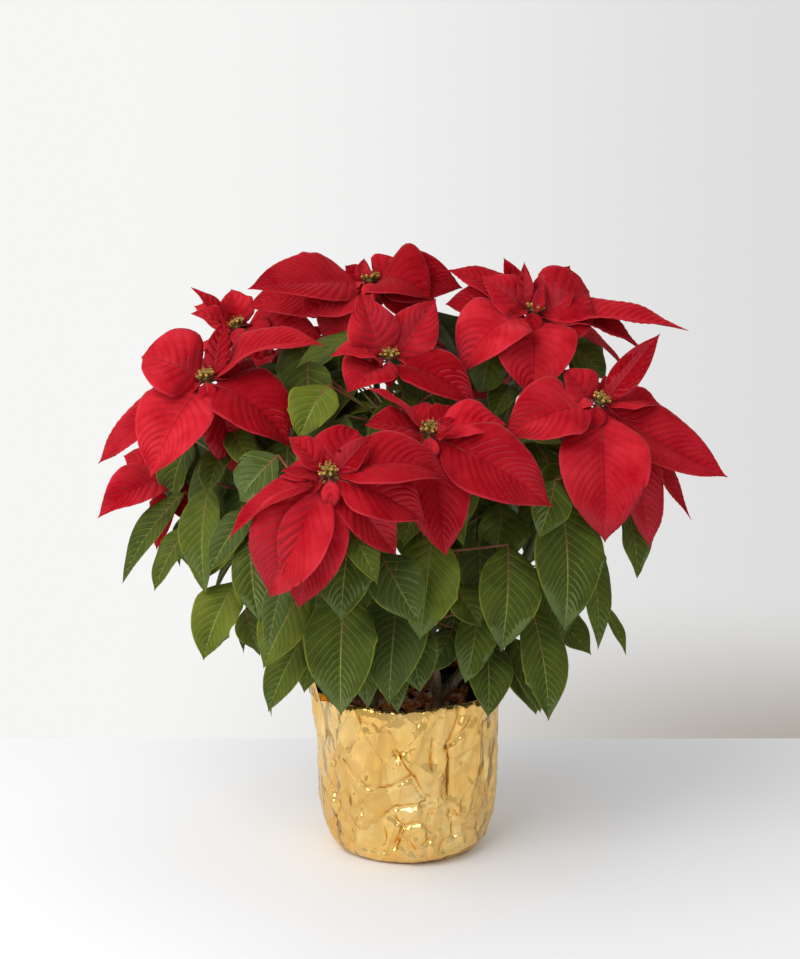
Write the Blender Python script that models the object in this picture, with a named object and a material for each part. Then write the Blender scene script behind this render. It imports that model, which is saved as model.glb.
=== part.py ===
# Potted poinsettia standing in a crumpled gold foil wrap.
# The tables and sizes below are in millimetres, and the meshes are made in metres.
# +Z is up, the origin is the middle of the flat base, and the viewer stands on the -Y side.

import math
import random

import bpy
import bmesh
from mathutils import Vector
from mathutils.bvhtree import BVHTree

MM = 0.001
SEAT_GAP = 0.3
GOLDEN_ANGLE = math.radians(137.5)

# Foil wrap: outer radius at each height, then the sheet and its crumpling.
FOIL_OUTLINE = [
    (0, 63.0),
    (3, 68.5),
    (9, 72.5),
    (24, 75.0),
    (46, 77.2),
    (72, 79.2),
    (98, 80.7),
    (124, 81.7),
    (147, 82.8),
]
FOIL_SHEET = 0.8
FOIL_CRUMPLE = 3.0
FOIL_SIDES = 30
FOIL_CORNER_ANGLE = math.radians(192)
FOIL_CORNER_RISE = 15
FOIL_CORNER_FLARE = 10

# Plastic growing pot, hidden in the foil.
POT_HEIGHT = 132
POT_TOP_RADIUS = 74
POT_BASE_RADIUS = 57
POT_WALL = 1.6
POT_LIP = 2.2
POT_SIDES = 32
DRAIN_HOLE_RADIUS = 4
DRAIN_HOLES = 4

# Soil of bark and peat.
SOIL_TOP = 120
SOIL_LUMP = 3.0
SOIL_SIDES = 24
HOLE_DEPTH = 52

# Woody stems: where each stands in the soil and how high it forks.
TRUNKS = {
    "a": ((-30, -12), 150),
    "b": ((28, -22), 150),
    "c": ((2, 34), 158),
}
TRUNK_RADIUS = 6.0
BRANCH_RADIUS = 4.0
NECK_RADIUS = 2.7
WOODY_SHARE = 0.34

# Blooms: trunk, middle of the yellow centre, and the way the head leans.
BLOOMS = {
    "left": ("a", (-170, -50, 438), (-0.30, -0.25, 1.0)),
    "upper_left": ("a", (-150, 50, 463), (-0.35, 0.10, 1.0)),
    "top": ("c", (-32, 40, 506), (-0.05, 0.00, 1.0)),
    "centre": ("b", (-15, -60, 458), (0.00, -0.35, 1.0)),
    "middle": ("b", (18, -130, 411), (0.05, -0.50, 1.0)),
    "front": ("a", (-63, -185, 389), (-0.15, -0.55, 1.0)),
    "upper_right": ("c", (109, -10, 489), (0.20, -0.10, 1.0)),
    "right": ("b", (162, -70, 422), (0.40, -0.30, 1.0)),
    "low_left": ("a", (-208, 30, 334), (-0.90, 0.05, 1.0)),
    "back_left": ("c", (-110, 150, 425), (-0.30, 0.45, 1.0)),
    "back": ("c", (-4, 172, 430), (0.00, 0.50, 1.0)),
    "back_right": ("c", (104, 140, 415), (0.30, 0.45, 1.0)),
    "far_right": ("b", (168, 66, 350), (0.70, 0.30, 1.0)),
}
HEAD_LENGTH = 34

# Bracts seen in the photo, from the yellow centre to the tip: right, away, up,
# then the width, the way the upper face looks (turn to the right, rise) and the arch.
SEEN_BRACTS = {
    "left": [
        (-54, 10, 12, 58, -16, 40, 0.26),
        (-43, -45, -78, 62, -14, 36, 0.13),
        (-93, 8, -80, 46, -38, 50, 0.05),
        (72, -35, -55, 60, 16, 44, 0.20),
        (102, -15, 27, 45, 0, 74, 0.15),
        (17, 5, 46, 20, 0, 18, 0.05),
        (36, 12, -8, 32, 10, 50, 0.10),
        (32, 10, -94, 40, 8, 18, 0.08),
    ],
    "upper_left": [
        (-39, 0, 31, 15, 0, 62, 0.10),
        (-39, 15, 12, 26, 0, 70, 0.15),
        (-38, -10, 4, 26, -20, 55, 0.12),
        (-5, 20, 26, 30, 0, 30, 0.10),
        (31, -25, -9, 30, 20, 50, 0.12),
        (78, -15, -13, 40, 10, 46, 0.12),
        (24, -18, -30, 34, 6, 40, 0.10),
        (56, 10, -9, 34, 0, 40, 0.12),
    ],
    "top": [
        (-103, -25, -10, 54, -16, 46, 0.05),
        (-60, -35, -31, 52, -20, 32, 0.12),
        (-40, -42, -49, 40, -15, 42, 0.15),
        (-108, -2, -28, 50, -12, 40, 0.04),
        (-5, 0, 15, 14, 0, 30, 0.05),
        (-22, 5, 8, 16, 0, 40, 0.10),
        (53, -35, -15, 58, 16, 40, 0.36),
        (80, 8, -14, 46, 10, 34, 0.20),
        (28, 12, 10, 36, 4, 30, 0.10),
        (59, -5, -37, 40, 14, 34, 0.12),
    ],
    "centre": [
        (-23, -8, 52, 42, 0, 12, 0.05),
        (39, 0, 46, 40, 0, 14, 0.05),
        (72, -22, -42, 42, 12, 44, 0.20),
        (-34, -35, -26, 46, -20, 46, 0.12),
        (-48, -25, 2, 30, 0, 70, 0.10),
    ],
    "middle": [
        (-52, -5, 33, 22, 0, 82, 0.10),
        (-52, -20, 6, 34, 0, 58, 0.12),
        (20, -20, 6, 13, 0, 30, 0.05),
        (99, -20, -62, 58, 8, 30, 0.12),
        (63, 15, -2, 36, 0, 56, 0.16),
        (13, -25, -102, 50, 0, 12, 0.08),
    ],
    "front": [
        (-32, 15, 23, 25, 0, 60, 0.10),
        (23, 30, 25, 44, 0, 52, 0.20),
        (35, -5, 30, 20, 0, 18, 0.05),
        (95, 15, -12, 48, 10, 52, 0.24),
        (77, -25, -35, 46, 8, 36, 0.14),
        (-36, -15, 3, 15, 0, 60, 0.05),
        (-80, -5, -57, 34, -60, 60, 0.10),
        (-47, -30, -98, 62, -14, 22, 0.12),
        (-24, -5, -113, 52, 0, 16, 0.08),
        (54, 10, -73, 35, 12, 20, 0.08),
    ],
    "upper_right": [
        (-63, -35, -53, 58, -24, 36, 0.30),
        (-4, -52, -70, 66, 0, 24, 0.16),
        (-46, -5, 25, 34, 0, 35, 0.12),
        (-75, 20, 27, 30, 0, 60, 0.10),
        (-76, 12, -1, 40, -10, 44, 0.12),
        (-27, 5, 40, 20, 0, 30, 0.08),
        (-10, -5, 38, 14, 0, 20, 0.05),
        (47, 5, 12, 62, 14, 22, 0.30),
        (30, 12, 32, 34, 4, 24, 0.10),
        (6, -8, 22, 10, 0, 20, 0.00),
        (130, -10, -20, 38, 0, 74, 0.04),
        (94, -5, -41, 32, 10, 70, 0.12),
        (81, 22, -62, 26, 20, 72, 0.10),
    ],
    "right": [
        (-83, -30, -27, 56, -20, 34, 0.14),
        (2, -40, -114, 70, 0, 22, 0.14),
        (43, -5, -130, 46, 28, 26, 0.12),
        (106, -10, -66, 52, 22, 38, -0.04),
        (80, 15, -110, 34, 60, 40, 0.02),
        (48, 5, 53, 24, 0, 24, 0.04),
        (51, 20, -10, 30, 10, 60, 0.12),
        (-31, 10, 21, 30, -10, 50, 0.12),
    ],
    "low_left": [
        (-61, -5, -47, 42, -24, 36, 0.18),
        (-43, 8, 11, 34, -10, 40, 0.12),
        (-14, -10, -71, 24, -20, 24, 0.08),
        (10, -20, -22, 18, 10, 30, 0.05),
        (15, -10, -8, 22, 10, 40, 0.10),
        (10, -18, -40, 22, 6, 24, 0.08),
    ],
}

# Bracts that the photo hides, placed round the head by the golden angle:
# number, first turn in degrees, arc they may fill (from, to) and length.
HIDDEN_BRACTS = {
    "left": (3, 100, (60, 200), 82),
    "upper_left": (6, 95, (20, 215), 72),
    "top": (4, 70, (15, 170), 84),
    "centre": (4, 80, (20, 165), 66),
    "middle": (3, 60, (30, 160), 66),
    "front": (2, 90, (50, 150), 62),
    "upper_right": (3, 100, (40, 175), 80),
    "right": (3, 60, (20, 150), 78),
    "low_left": (6, 100, (10, 250), 66),
    "back_left": (9, 0, (0, 360), 90),
    "back": (9, 40, (0, 360), 94),
    "back_right": (9, 80, (0, 360), 90),
    "far_right": (8, 20, (0, 360), 74),
}

# Leaves seen in the photo: stem, where the blade starts and its tip
# (right, away, up, from the middle of the base), and the width.
SEEN_LEAVES = [
    ("left", (-155, -48, 380), (-180, -62, 295), 30),
    ("left", (-170, -52, 345), (-171, -75, 252), 37),
    ("left", (-131, -88, 330), (-165, -105, 280), 27),
    ("left", (-143, -45, 385), (-122, -60, 330), 40),
    ("low_left", (-195, 0, 324), (-248, -10, 242), 26),
    ("low_left", (-188, -30, 300), (-218, -45, 245), 25),
    ("low_left", (-147, -70, 262), (-173, -90, 198), 42),
    ("low_left", (-132, -40, 232), (-127, -55, 190), 25),
    ("front", (-135, -98, 312), (-123, -120, 242), 32),
    ("front", (-101, -133, 293), (-114, -150, 227), 22),
    ("front", (-88, -108, 268), (-120, -125, 203), 40),
    ("front", (-85, -83, 226), (-118, -100, 155), 33),
    ("front", (-52, -118, 272), (-55, -138, 166), 56),
    ("front", (-36, -93, 224), (-33, -105, 160), 26),
    ("front", (-45, -150, 336), (-54, -170, 259), 47),
    ("front", (-20, -140, 307), (9, -160, 254), 42),
    ("front", (-109, -112, 386), (-139, -100, 341), 36),
    ("middle", (21, -130, 322), (10, -150, 236), 48),
    ("middle", (-2, -103, 238), (11, -120, 180), 40),
    ("middle", (-13, -86, 206), (-8, -100, 154), 22),
    ("middle", (40, -105, 268), (61, -115, 236), 28),
    ("middle", (88, -110, 306), (78, -130, 219), 50),
    ("middle", (63, -88, 246), (49, -100, 181), 32),
    ("middle", (41, -60, 216), (18, -72, 180), 26),
    ("right", (128, -110, 345), (131, -130, 236), 57),
    ("right", (152, -70, 304), (162, -90, 207), 27),
    ("right", (121, -120, 364), (108, -130, 318), 32),
    ("right", (66, -72, 214), (69, -90, 147), 37),
    ("right", (106, -83, 243), (120, -105, 149), 40),
    ("right", (93, -58, 205), (115, -72, 144), 30),
    ("right", (191, -58, 320), (195, -75, 266), 28),
    ("far_right", (119, -50, 231), (159, -70, 195), 32),
    ("far_right", (175, -20, 225), (191, -40, 185), 12),
    ("centre", (-88, -40, 450), (-77, -60, 396), 45),
    ("centre", (-69, -60, 432), (-89, -80, 388), 40),
    ("centre", (76, -40, 464), (61, -50, 422), 36),
    ("upper_right", (138, -10, 462), (172, -20, 428), 34),
    ("front", (-25, -45, 251), (-30, -55, 184), 44),
    ("middle", (61, -35, 352), (54, -50, 273), 48),
    ("right", (114, -40, 345), (106, -50, 270), 44),
    ("left", (-157, -20, 363), (-153, -30, 294), 44),
    ("right", (147, -20, 366), (152, -35, 302), 44),
    ("upper_right", (152, 30, 455), (156, 25, 395), 36),
    ("low_left", (-180, -15, 314), (-184, -25, 254), 40),
    ("left", (-125, -10, 390), (-117, -25, 317), 46),
    ("front", (-103, -30, 384), (-98, -45, 327), 44),
    ("centre", (-53, 0, 429), (-65, -15, 372), 46),
    ("centre", (-30, 10, 415), (-34, 0, 362), 46),
    ("right", (99, -20, 386), (119, -35, 324), 44),
    ("upper_right", (124, 20, 377), (104, 10, 312), 50),
    ("middle", (84, -45, 327), (73, -60, 270), 44),
    ("middle", (8, -45, 322), (9, -60, 268), 40),
    ("left", (-142, -60, 306), (-169, -80, 268), 28),
    ("low_left", (-141, -50, 231), (-128, -62, 196), 24),
    ("right", (90, -50, 200), (112, -68, 140), 40),
    ("front", (-77, -45, 204), (-89, -60, 158), 30),
    ("right", (112, -50, 270), (134, -65, 207), 38),
    ("upper_right", (69, 50, 483), (86, 40, 427), 44),
    ("top", (-93, 30, 461), (-88, 20, 404), 50),
    ("top", (-60, 40, 453), (-54, 30, 395), 48),
    ("left", (-192, 20, 367), (-206, 5, 309), 38),
    ("left", (-180, 30, 376), (-190, 15, 321), 36),
    ("middle", (63, -55, 299), (59, -70, 242), 40),
    ("middle", (43, -45, 251), (37, -58, 200), 38),
    ("front", (-77, -55, 268), (-77, -70, 214), 36),
    ("left", (-136, -35, 346), (-142, -50, 293), 36),
]

# Leaves that the photo hides hang in layers: number, share of the plant's reach,
# furthest to the viewer that a layer comes (as a share of the reach) and leaf length.
LEAF_LAYERS = [
    (60, 0.92, 0.25, 92),
    (56, 0.66, 1.00, 98),
    (40, 0.38, 1.00, 104),
]
# Reach of the foliage from the middle of the pot at each height.
FOLIAGE_REACH = [(140, 112), (180, 145), (240, 180), (300, 198), (350, 195), (460, 150)]
FOLIAGE_LOW = 165
FOLIAGE_HIGH = 455
LONGEST_STALK = 85

# Blade proportions: place along the blade and the share of the half width there.
# Narrow blades, and those that the photo hides, have fewer stations.
BRACT_OUTLINE = [(0.15, 0.55), (0.38, 1.00), (0.65, 0.82), (0.88, 0.32)]
LEAF_OUTLINE = [(0.16, 0.66), (0.38, 1.00), (0.64, 0.82), (0.87, 0.32)]
PLAIN_OUTLINE = [(0.20, 0.76), (0.46, 1.00), (0.80, 0.48)]
SHADE_OUTLINE = [(0.30, 1.00), (0.68, 0.74)]
SMALL_OUTLINE = [(0.26, 0.86), (0.60, 0.84)]
SMALL_WIDTH = 28
PLAIN_WIDTH = 50

# Blade thickness above and below the rib, fold and ripple of the margin, and the stalk.
BLADE_RIB = 0.7
BLADE_FOLD = 0.26
BRACT_FULLNESS = 1.08
LEAF_FULLNESS = 1.08
BRACT_WAVE = 1.2
LEAF_WAVE = 1.6
STALK_RADIUS = 1.1
BRACT_FOOT = 12
ROOT_OUT = 1.3
FREE_FOOT = 7

# A blade that would cross another piece is bent towards or away from the viewer,
# along a line of sight that falls by this slope.
BEND_STEPS = [0, 4, -4, 8, -8, 12, -12, 16, -16, 20, -20, 25, -25, 30, -30, 36, -36]
BEND_LIFTS = [0, 5, -5]
SIGHT_SLOPE = 0.26
CLEARANCE = 0.4
FLAT_ANGLE = math.radians(0.02)

# Yellow centre of a bloom.
BUD_RADIUS = 2.1
BUD_LENGTH = 6.5
BUD_RING = 4.5
BUDS = 5


def clear_scene():
    for thing in list(bpy.data.objects):
        bpy.data.objects.remove(thing)


def material(name, colour, roughness, metallic=0.0):
    made = bpy.data.materials.new(name)
    made.use_nodes = True
    shader = made.node_tree.nodes["Principled BSDF"]
    shader.inputs["Base Color"].default_value = (*colour, 1.0)
    shader.inputs["Roughness"].default_value = roughness
    shader.inputs["Metallic"].default_value = metallic
    return made


def add_object(name, shape, paint, smooth=False):
    points, faces = shape
    mesh = bpy.data.meshes.new(name)
    mesh.from_pydata([Vector(p) * MM for p in points], [], faces)
    mesh.materials.append(paint)
    work = bmesh.new()
    work.from_mesh(mesh)
    bmesh.ops.triangulate(work, faces=work.faces[:])
    work.to_mesh(mesh)
    work.free()
    for face in mesh.polygons:
        face.use_smooth = smooth
    made = bpy.data.objects.new(name, mesh)
    bpy.context.scene.collection.objects.link(made)
    return made


def keep_largest_shell(thing):
    """Merges flat faces, fills sealed hollows and drops loose scraps: one shell stays."""
    work = bmesh.new()
    work.from_mesh(thing.data)
    bmesh.ops.dissolve_limit(work, angle_limit=FLAT_ANGLE, verts=work.verts[:], edges=work.edges[:])
    bmesh.ops.triangulate(work, faces=work.faces[:])
    unseen = set(work.faces)
    shells = []
    while unseen:
        first = unseen.pop()
        shell = [first]
        for face in shell:
            for edge in face.edges:
                for other in edge.link_faces:
                    if other in unseen:
                        unseen.remove(other)
                        shell.append(other)
        shells.append(shell)
    shells.sort(key=len)
    scraps = [face for shell in shells[:-1] for face in shell]
    bmesh.ops.delete(work, geom=scraps, context="FACES")
    loose = [v for v in work.verts if not v.link_faces]
    bmesh.ops.delete(work, geom=loose, context="VERTS")
    work.to_mesh(thing.data)
    work.free()


def apply_modifiers(thing):
    bpy.context.view_layer.update()
    graph = bpy.context.evaluated_depsgraph_get()
    baked = bpy.data.meshes.new_from_object(thing.evaluated_get(graph))
    old = thing.data
    thing.modifiers.clear()
    thing.data = baked
    bpy.data.meshes.remove(old)


def open_edges(mesh):
    work = bmesh.new()
    work.from_mesh(mesh)
    count = sum(1 for edge in work.edges if len(edge.link_faces) != 2)
    work.free()
    return count


def boolean_with(thing, others, operation):
    """One Boolean with a whole collection of helpers, which are then removed.
    The exact solver leaves open edges where many stalks meet, so the manifold one goes first."""
    helpers = bpy.data.collections.new("helpers")
    bpy.context.scene.collection.children.link(helpers)
    for other in others:
        bpy.context.scene.collection.objects.unlink(other)
        helpers.objects.link(other)
        other.hide_render = True
        other.display_type = "WIRE"
    whole = thing.data.copy()
    for solver in ("MANIFOLD", "EXACT"):
        step = thing.modifiers.new("helpers", "BOOLEAN")
        step.operation = operation
        step.operand_type = "COLLECTION"
        step.collection = helpers
        step.solver = solver
        apply_modifiers(thing)
        keep_largest_shell(thing)
        if not open_edges(thing.data):
            break
        print(thing.name, "has open edges after", solver)
        if solver == "MANIFOLD":
            thing.data = whole.copy()
    bpy.data.meshes.remove(whole)
    for other in others:
        bpy.data.objects.remove(other)
    bpy.data.collections.remove(helpers)


def add_joined(name, shapes, paint, smooth=False):
    thing = add_object(name, shapes[0], paint)
    others = [add_object(name + "_piece", shape, paint) for shape in shapes[1:]]
    if others:
        boolean_with(thing, others, "UNION")
    for face in thing.data.polygons:
        face.use_smooth = smooth
    return thing


def tube(points, radii, sides):
    """Closed tube of flat sides through the points."""
    points = [Vector(p) for p in points]
    rings = []
    side = Vector((1, 0, 0))
    for i, point in enumerate(points):
        before = points[max(i - 1, 0)]
        after = points[min(i + 1, len(points) - 1)]
        along = (after - before).normalized()
        side = (side - along * side.dot(along)).normalized()
        across = along.cross(side)
        for k in range(sides):
            turn = 2 * math.pi * k / sides
            rings.append(point + (side * math.cos(turn) + across * math.sin(turn)) * radii[i])
    faces = []
    for i in range(len(points) - 1):
        for k in range(sides):
            a = i * sides + k
            b = i * sides + (k + 1) % sides
            faces.append((a, b, b + sides, a + sides))
    faces.append(tuple(reversed(range(sides))))
    last = (len(points) - 1) * sides
    faces.append(tuple(range(last, last + sides)))
    return rings, faces


def lathe(outline, sides):
    """Closed solid turned from an outline that starts and ends on the axis."""
    points = [Vector((0, 0, outline[0][1]))]
    for radius, height in outline[1:-1]:
        for k in range(sides):
            turn = 2 * math.pi * k / sides
            points.append(Vector((radius * math.cos(turn), radius * math.sin(turn), height)))
    points.append(Vector((0, 0, outline[-1][1])))
    faces = [(0, 1 + (k + 1) % sides, 1 + k) for k in range(sides)]
    for i in range(len(outline) - 3):
        for k in range(sides):
            a = 1 + i * sides + k
            b = 1 + i * sides + (k + 1) % sides
            faces.append((a, b, b + sides, a + sides))
    top = len(points) - 1
    last = 1 + (len(outline) - 3) * sides
    faces += [(last + k, last + (k + 1) % sides, top) for k in range(sides)]
    return points, faces


def facing(turn, rise):
    """Way a face looks: turn to the right of the viewer, rise above the horizon."""
    turn = math.radians(turn)
    rise = math.radians(rise)
    flat = math.cos(rise)
    return Vector((math.sin(turn) * flat, -math.cos(turn) * flat, math.sin(rise)))


def blade(spec, bend=(0, 0, 0), spare=0.0):
    """Bract or leaf on its stalk: four-sided rings, thick at the rib and sharp at the margin.
    It is folded up along the rib, arched, and waved at the margin."""
    bend = Vector(bend)
    root = spec["root"]
    base = spec["base"] + bend * spec["base_share"]
    tip = spec["tip"] + bend
    chord = tip - base
    along = chord.normalized()
    face = spec["face"]
    lift = (face - along * face.dot(along)).normalized()
    hump = (base + tip) / 2 + lift * spec["arch"] * chord.length * 2
    half_width = spec["width"] / 2 + spare
    rib = BLADE_RIB + spare
    stalk = STALK_RADIUS + spare
    sections = [(root, base - root, stalk, 0, 0), (base, tip - root, stalk * 1.15, 0, 0)]
    for i, (place, share) in enumerate(spec["outline"]):
        rest = 1 - place
        point = base * rest * rest + hump * 2 * rest * place + tip * place * place
        way = (hump - base) * rest + (tip - hump) * place
        ripple = spec["wave"] * (1 if i % 2 else -1)
        sections.append((point, way, half_width * share, ripple, min(1, place * 2.5)))
    points = []
    for point, way, half, ripple, opened in sections:
        way = way.normalized()
        up = (face - way * face.dot(way)).normalized()
        side = way.cross(up)
        fold = BLADE_FOLD * half * opened
        thick = rib if opened else stalk
        points.append(point - side * half + up * (fold + ripple))
        points.append(point + up * thick)
        points.append(point + side * half + up * (fold - ripple))
        points.append(point - up * thick)
    points.append(tip + along * spare)
    faces = [(0, 3, 2), (0, 2, 1)]
    rings = len(sections)
    for i in range(rings - 1):
        a = 4 * i
        b = a + 4
        faces += [(a, a + 1, b), (a + 1, b + 1, b)]
        faces += [(a + 1, a + 2, b + 2), (a + 1, b + 2, b + 1)]
        faces += [(a + 2, a + 3, b + 2), (a + 3, b + 3, b + 2)]
        faces += [(a + 3, a, b), (a + 3, b, b + 3)]
    last = 4 * (rings - 1)
    for k in range(4):
        faces.append((last + k, last + (k + 1) % 4, last + 4))
    return points, faces


def bud(middle, way, length, radius):
    """Small egg-shaped bud of four sides."""
    way = way.normalized()
    side = way.orthogonal().normalized()
    across = way.cross(side)
    points = [middle - way * length / 2]
    for k in range(4):
        turn = math.pi * k / 2
        out = side * math.cos(turn) + across * math.sin(turn)
        points.append(middle + way * length * 0.06 + out * radius)
    points.append(middle + way * length / 2)
    faces = []
    for k in range(4):
        n = (k + 1) % 4
        faces.append((0, 1 + n, 1 + k))
        faces.append((1 + k, 1 + n, 5))
    return points, faces


def head_axis(name):
    return Vector(BLOOMS[name][2]).normalized()


def stem_point(name, place):
    """Point on the bent line from the fork of the trunk to the neck of the bloom."""
    trunk, centre, _ = BLOOMS[name]
    foot, fork = TRUNKS[trunk]
    axis = head_axis(name)
    neck = Vector(centre) - axis * (HEAD_LENGTH + 8)
    start = Vector((foot[0], foot[1], fork - 12))
    reach = (neck - start).length
    rise = Vector((0.35 * (neck.x - start.x), 0.35 * (neck.y - start.y), 0.16 * reach))
    second = start + rise
    third = neck - axis * reach * 0.32
    rest = 1 - place
    point = start * rest ** 3 + second * 3 * rest * rest * place
    return point + third * 3 * rest * place * place + neck * place ** 3


def stem_run(name, start, end, steps):
    places = [start + (end - start) * i / steps for i in range(steps + 1)]
    points = [stem_point(name, place) for place in places]
    radii = [BRANCH_RADIUS + (NECK_RADIUS - BRANCH_RADIUS) * place for place in places]
    return points, radii


def crumple(turn, height):
    """Dents and ridges of the foil, as straight-sided waves that cross each other."""
    total = 0.0
    waves = (
        (5, 0.030, 0.3),
        (-7, 0.045, 1.9),
        (3, -0.060, 4.1),
        (11, 0.020, 2.6),
    )
    for count, slope, start in waves:
        place = (count * turn + slope * height + start) / (2 * math.pi)
        total += abs(4 * (place - math.floor(place)) - 2) - 1
    return total * FOIL_CRUMPLE / 2


def make_foil(paint):
    """Foil sheet gathered under the pot: outer and inner skins split alike."""
    outer = []
    inner = []
    top = FOIL_OUTLINE[-1][0]
    for height, radius in FOIL_OUTLINE:
        for k in range(FOIL_SIDES):
            turn = 2 * math.pi * k / FOIL_SIDES
            fade = min(1.0, height / 20)
            off = math.atan2(math.sin(turn - FOIL_CORNER_ANGLE), math.cos(turn - FOIL_CORNER_ANGLE))
            corner = math.exp(-((off / 0.13) ** 2)) * (height / top) ** 6
            reach = radius + crumple(turn, height) * fade + corner * FOIL_CORNER_FLARE
            rise = height + corner * FOIL_CORNER_RISE
            if height == top:
                rise += 1.2 * math.sin(5 * turn + 1) + 0.8 * math.sin(9 * turn)
            way = Vector((math.cos(turn), math.sin(turn), 0))
            outer.append(way * reach + Vector((0, 0, rise)))
            inner_rise = FOIL_SHEET if height == 0 else rise
            inner.append(way * (reach - FOIL_SHEET) + Vector((0, 0, inner_rise)))
    n = FOIL_SIDES
    rows = len(FOIL_OUTLINE)
    count = n * rows
    points = outer + inner + [Vector((0, 0, 0)), Vector((0, 0, FOIL_SHEET))]
    faces = []
    for i in range(rows - 1):
        for k in range(n):
            a = i * n + k
            b = i * n + (k + 1) % n
            faces += [(a, b, b + n), (a, b + n, a + n)]
            faces += [(count + a, count + b + n, count + b), (count + a, count + a + n, count + b + n)]
    last = (rows - 1) * n
    for k in range(n):
        m = (k + 1) % n
        faces.append((last + k, last + m, count + last + m, count + last + k))
        faces.append((2 * count, m, k))
        faces.append((2 * count + 1, count + k, count + m))
    return add_object("foil_wrap", (points, faces), paint)


def pot_radius(height):
    share = height / POT_HEIGHT
    return POT_BASE_RADIUS + (POT_TOP_RADIUS - POT_BASE_RADIUS) * share


def make_pot(paint):
    """Thin tapered growing pot with a lip and drainage holes."""
    low = FOIL_SHEET + SEAT_GAP
    floor = low + POT_WALL
    lip_low = POT_HEIGHT - 9
    outline = [
        (0, low),
        (pot_radius(low), low),
        (pot_radius(lip_low), lip_low),
        (pot_radius(lip_low) + POT_LIP, lip_low),
        (pot_radius(POT_HEIGHT) + POT_LIP, POT_HEIGHT),
        (pot_radius(POT_HEIGHT) - POT_WALL, POT_HEIGHT),
        (pot_radius(floor) - POT_WALL, floor),
        (0, floor),
    ]
    pot = add_object("grow_pot", lathe(outline, POT_SIDES), paint)
    cutters = []
    for k in range(DRAIN_HOLES):
        turn = 2 * math.pi * (k + 0.5) / DRAIN_HOLES
        x = 36 * math.cos(turn)
        y = 36 * math.sin(turn)
        hole = tube([(x, y, low - 3), (x, y, floor + 3)], [DRAIN_HOLE_RADIUS] * 2, 8)
        cutters.append(add_object("drain_cutter", hole, paint))
    boolean_with(pot, cutters, "DIFFERENCE")
    return pot


def make_soil(paint):
    """Bark and peat filling: a lumpy top, and a plain hole for each woody stem."""
    draw = random.Random(11)
    low = FOIL_SHEET + SEAT_GAP + POT_WALL + SEAT_GAP
    wall = POT_WALL + SEAT_GAP + 0.2
    outline = [(0, low), (pot_radius(low) - wall, low), (pot_radius(SOIL_TOP - 5) - wall, SOIL_TOP - 5)]
    for radius in (62, 50, 38, 26, 13):
        outline.append((radius, SOIL_TOP + (64 - radius) * 0.05))
    outline.append((0, SOIL_TOP + 3))
    points, faces = lathe(outline, SOIL_SIDES)
    first = 1 + 2 * SOIL_SIDES
    for i in range(first, len(points)):
        points[i] = points[i] + Vector((0, 0, draw.uniform(-SOIL_LUMP, SOIL_LUMP)))
    soil = add_object("soil", (points, faces), paint)
    cutters = []
    for foot, _ in TRUNKS.values():
        x, y = foot
        run = [(x, y, SOIL_TOP - HOLE_DEPTH), (x, y, SOIL_TOP + 30)]
        cutters.append(add_object("hole_cutter", tube(run, [TRUNK_RADIUS + 0.6] * 2, 10), paint))
    boolean_with(soil, cutters, "DIFFERENCE")
    return soil


def trunk_shapes(key):
    """Woody stem from its hole to the fork, with the lower length of each branch."""
    foot, fork = TRUNKS[key]
    low = SOIL_TOP - HOLE_DEPTH + SEAT_GAP
    heights = [low, SOIL_TOP - 10, fork - 14, fork]
    points = [(foot[0], foot[1], height) for height in heights]
    shapes = [tube(points, [TRUNK_RADIUS, TRUNK_RADIUS, TRUNK_RADIUS, TRUNK_RADIUS - 2], 7)]
    for name in BLOOMS:
        if BLOOMS[name][0] == key:
            run, radii = stem_run(name, 0.0, WOODY_SHARE, 2)
            shapes.append(tube(run, radii, 6))
    return shapes


def outline_for(width, full):
    if width < SMALL_WIDTH:
        return SMALL_OUTLINE
    return PLAIN_OUTLINE if width < PLAIN_WIDTH else full


def seen_bract_specs(name):
    """The bracts of one bloom that the photo shows, the most drooping lowest on the head."""
    centre = Vector(BLOOMS[name][1])
    axis = head_axis(name)
    rows = SEEN_BRACTS.get(name, [])
    rows = sorted(rows, key=lambda row: -axis.dot(Vector(row[:3]).normalized()))
    specs = []
    for i, row in enumerate(rows):
        depth = 7.5 + 21 * i / max(len(rows) - 1, 1)
        specs.append(bract_spec(name, centre + Vector(row[:3]), depth, row[3], facing(row[4], row[5]), row[6]))
    return specs


def bract_spec(name, tip, depth, width, face, arch):
    axis = head_axis(name)
    root = Vector(BLOOMS[name][1]) - axis * depth
    out = tip - root
    out = (out - axis * out.dot(axis)).normalized()
    root = root + out * ROOT_OUT
    base = root + out * BRACT_FOOT + axis * 2
    width = width * BRACT_FULLNESS
    return {
        "root": root,
        "base": base,
        "tip": tip,
        "width": width,
        "face": face,
        "arch": arch,
        "wave": BRACT_WAVE if width >= SMALL_WIDTH else 0.5,
        "outline": outline_for(width, BRACT_OUTLINE),
        "base_share": 0.0,
    }


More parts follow.
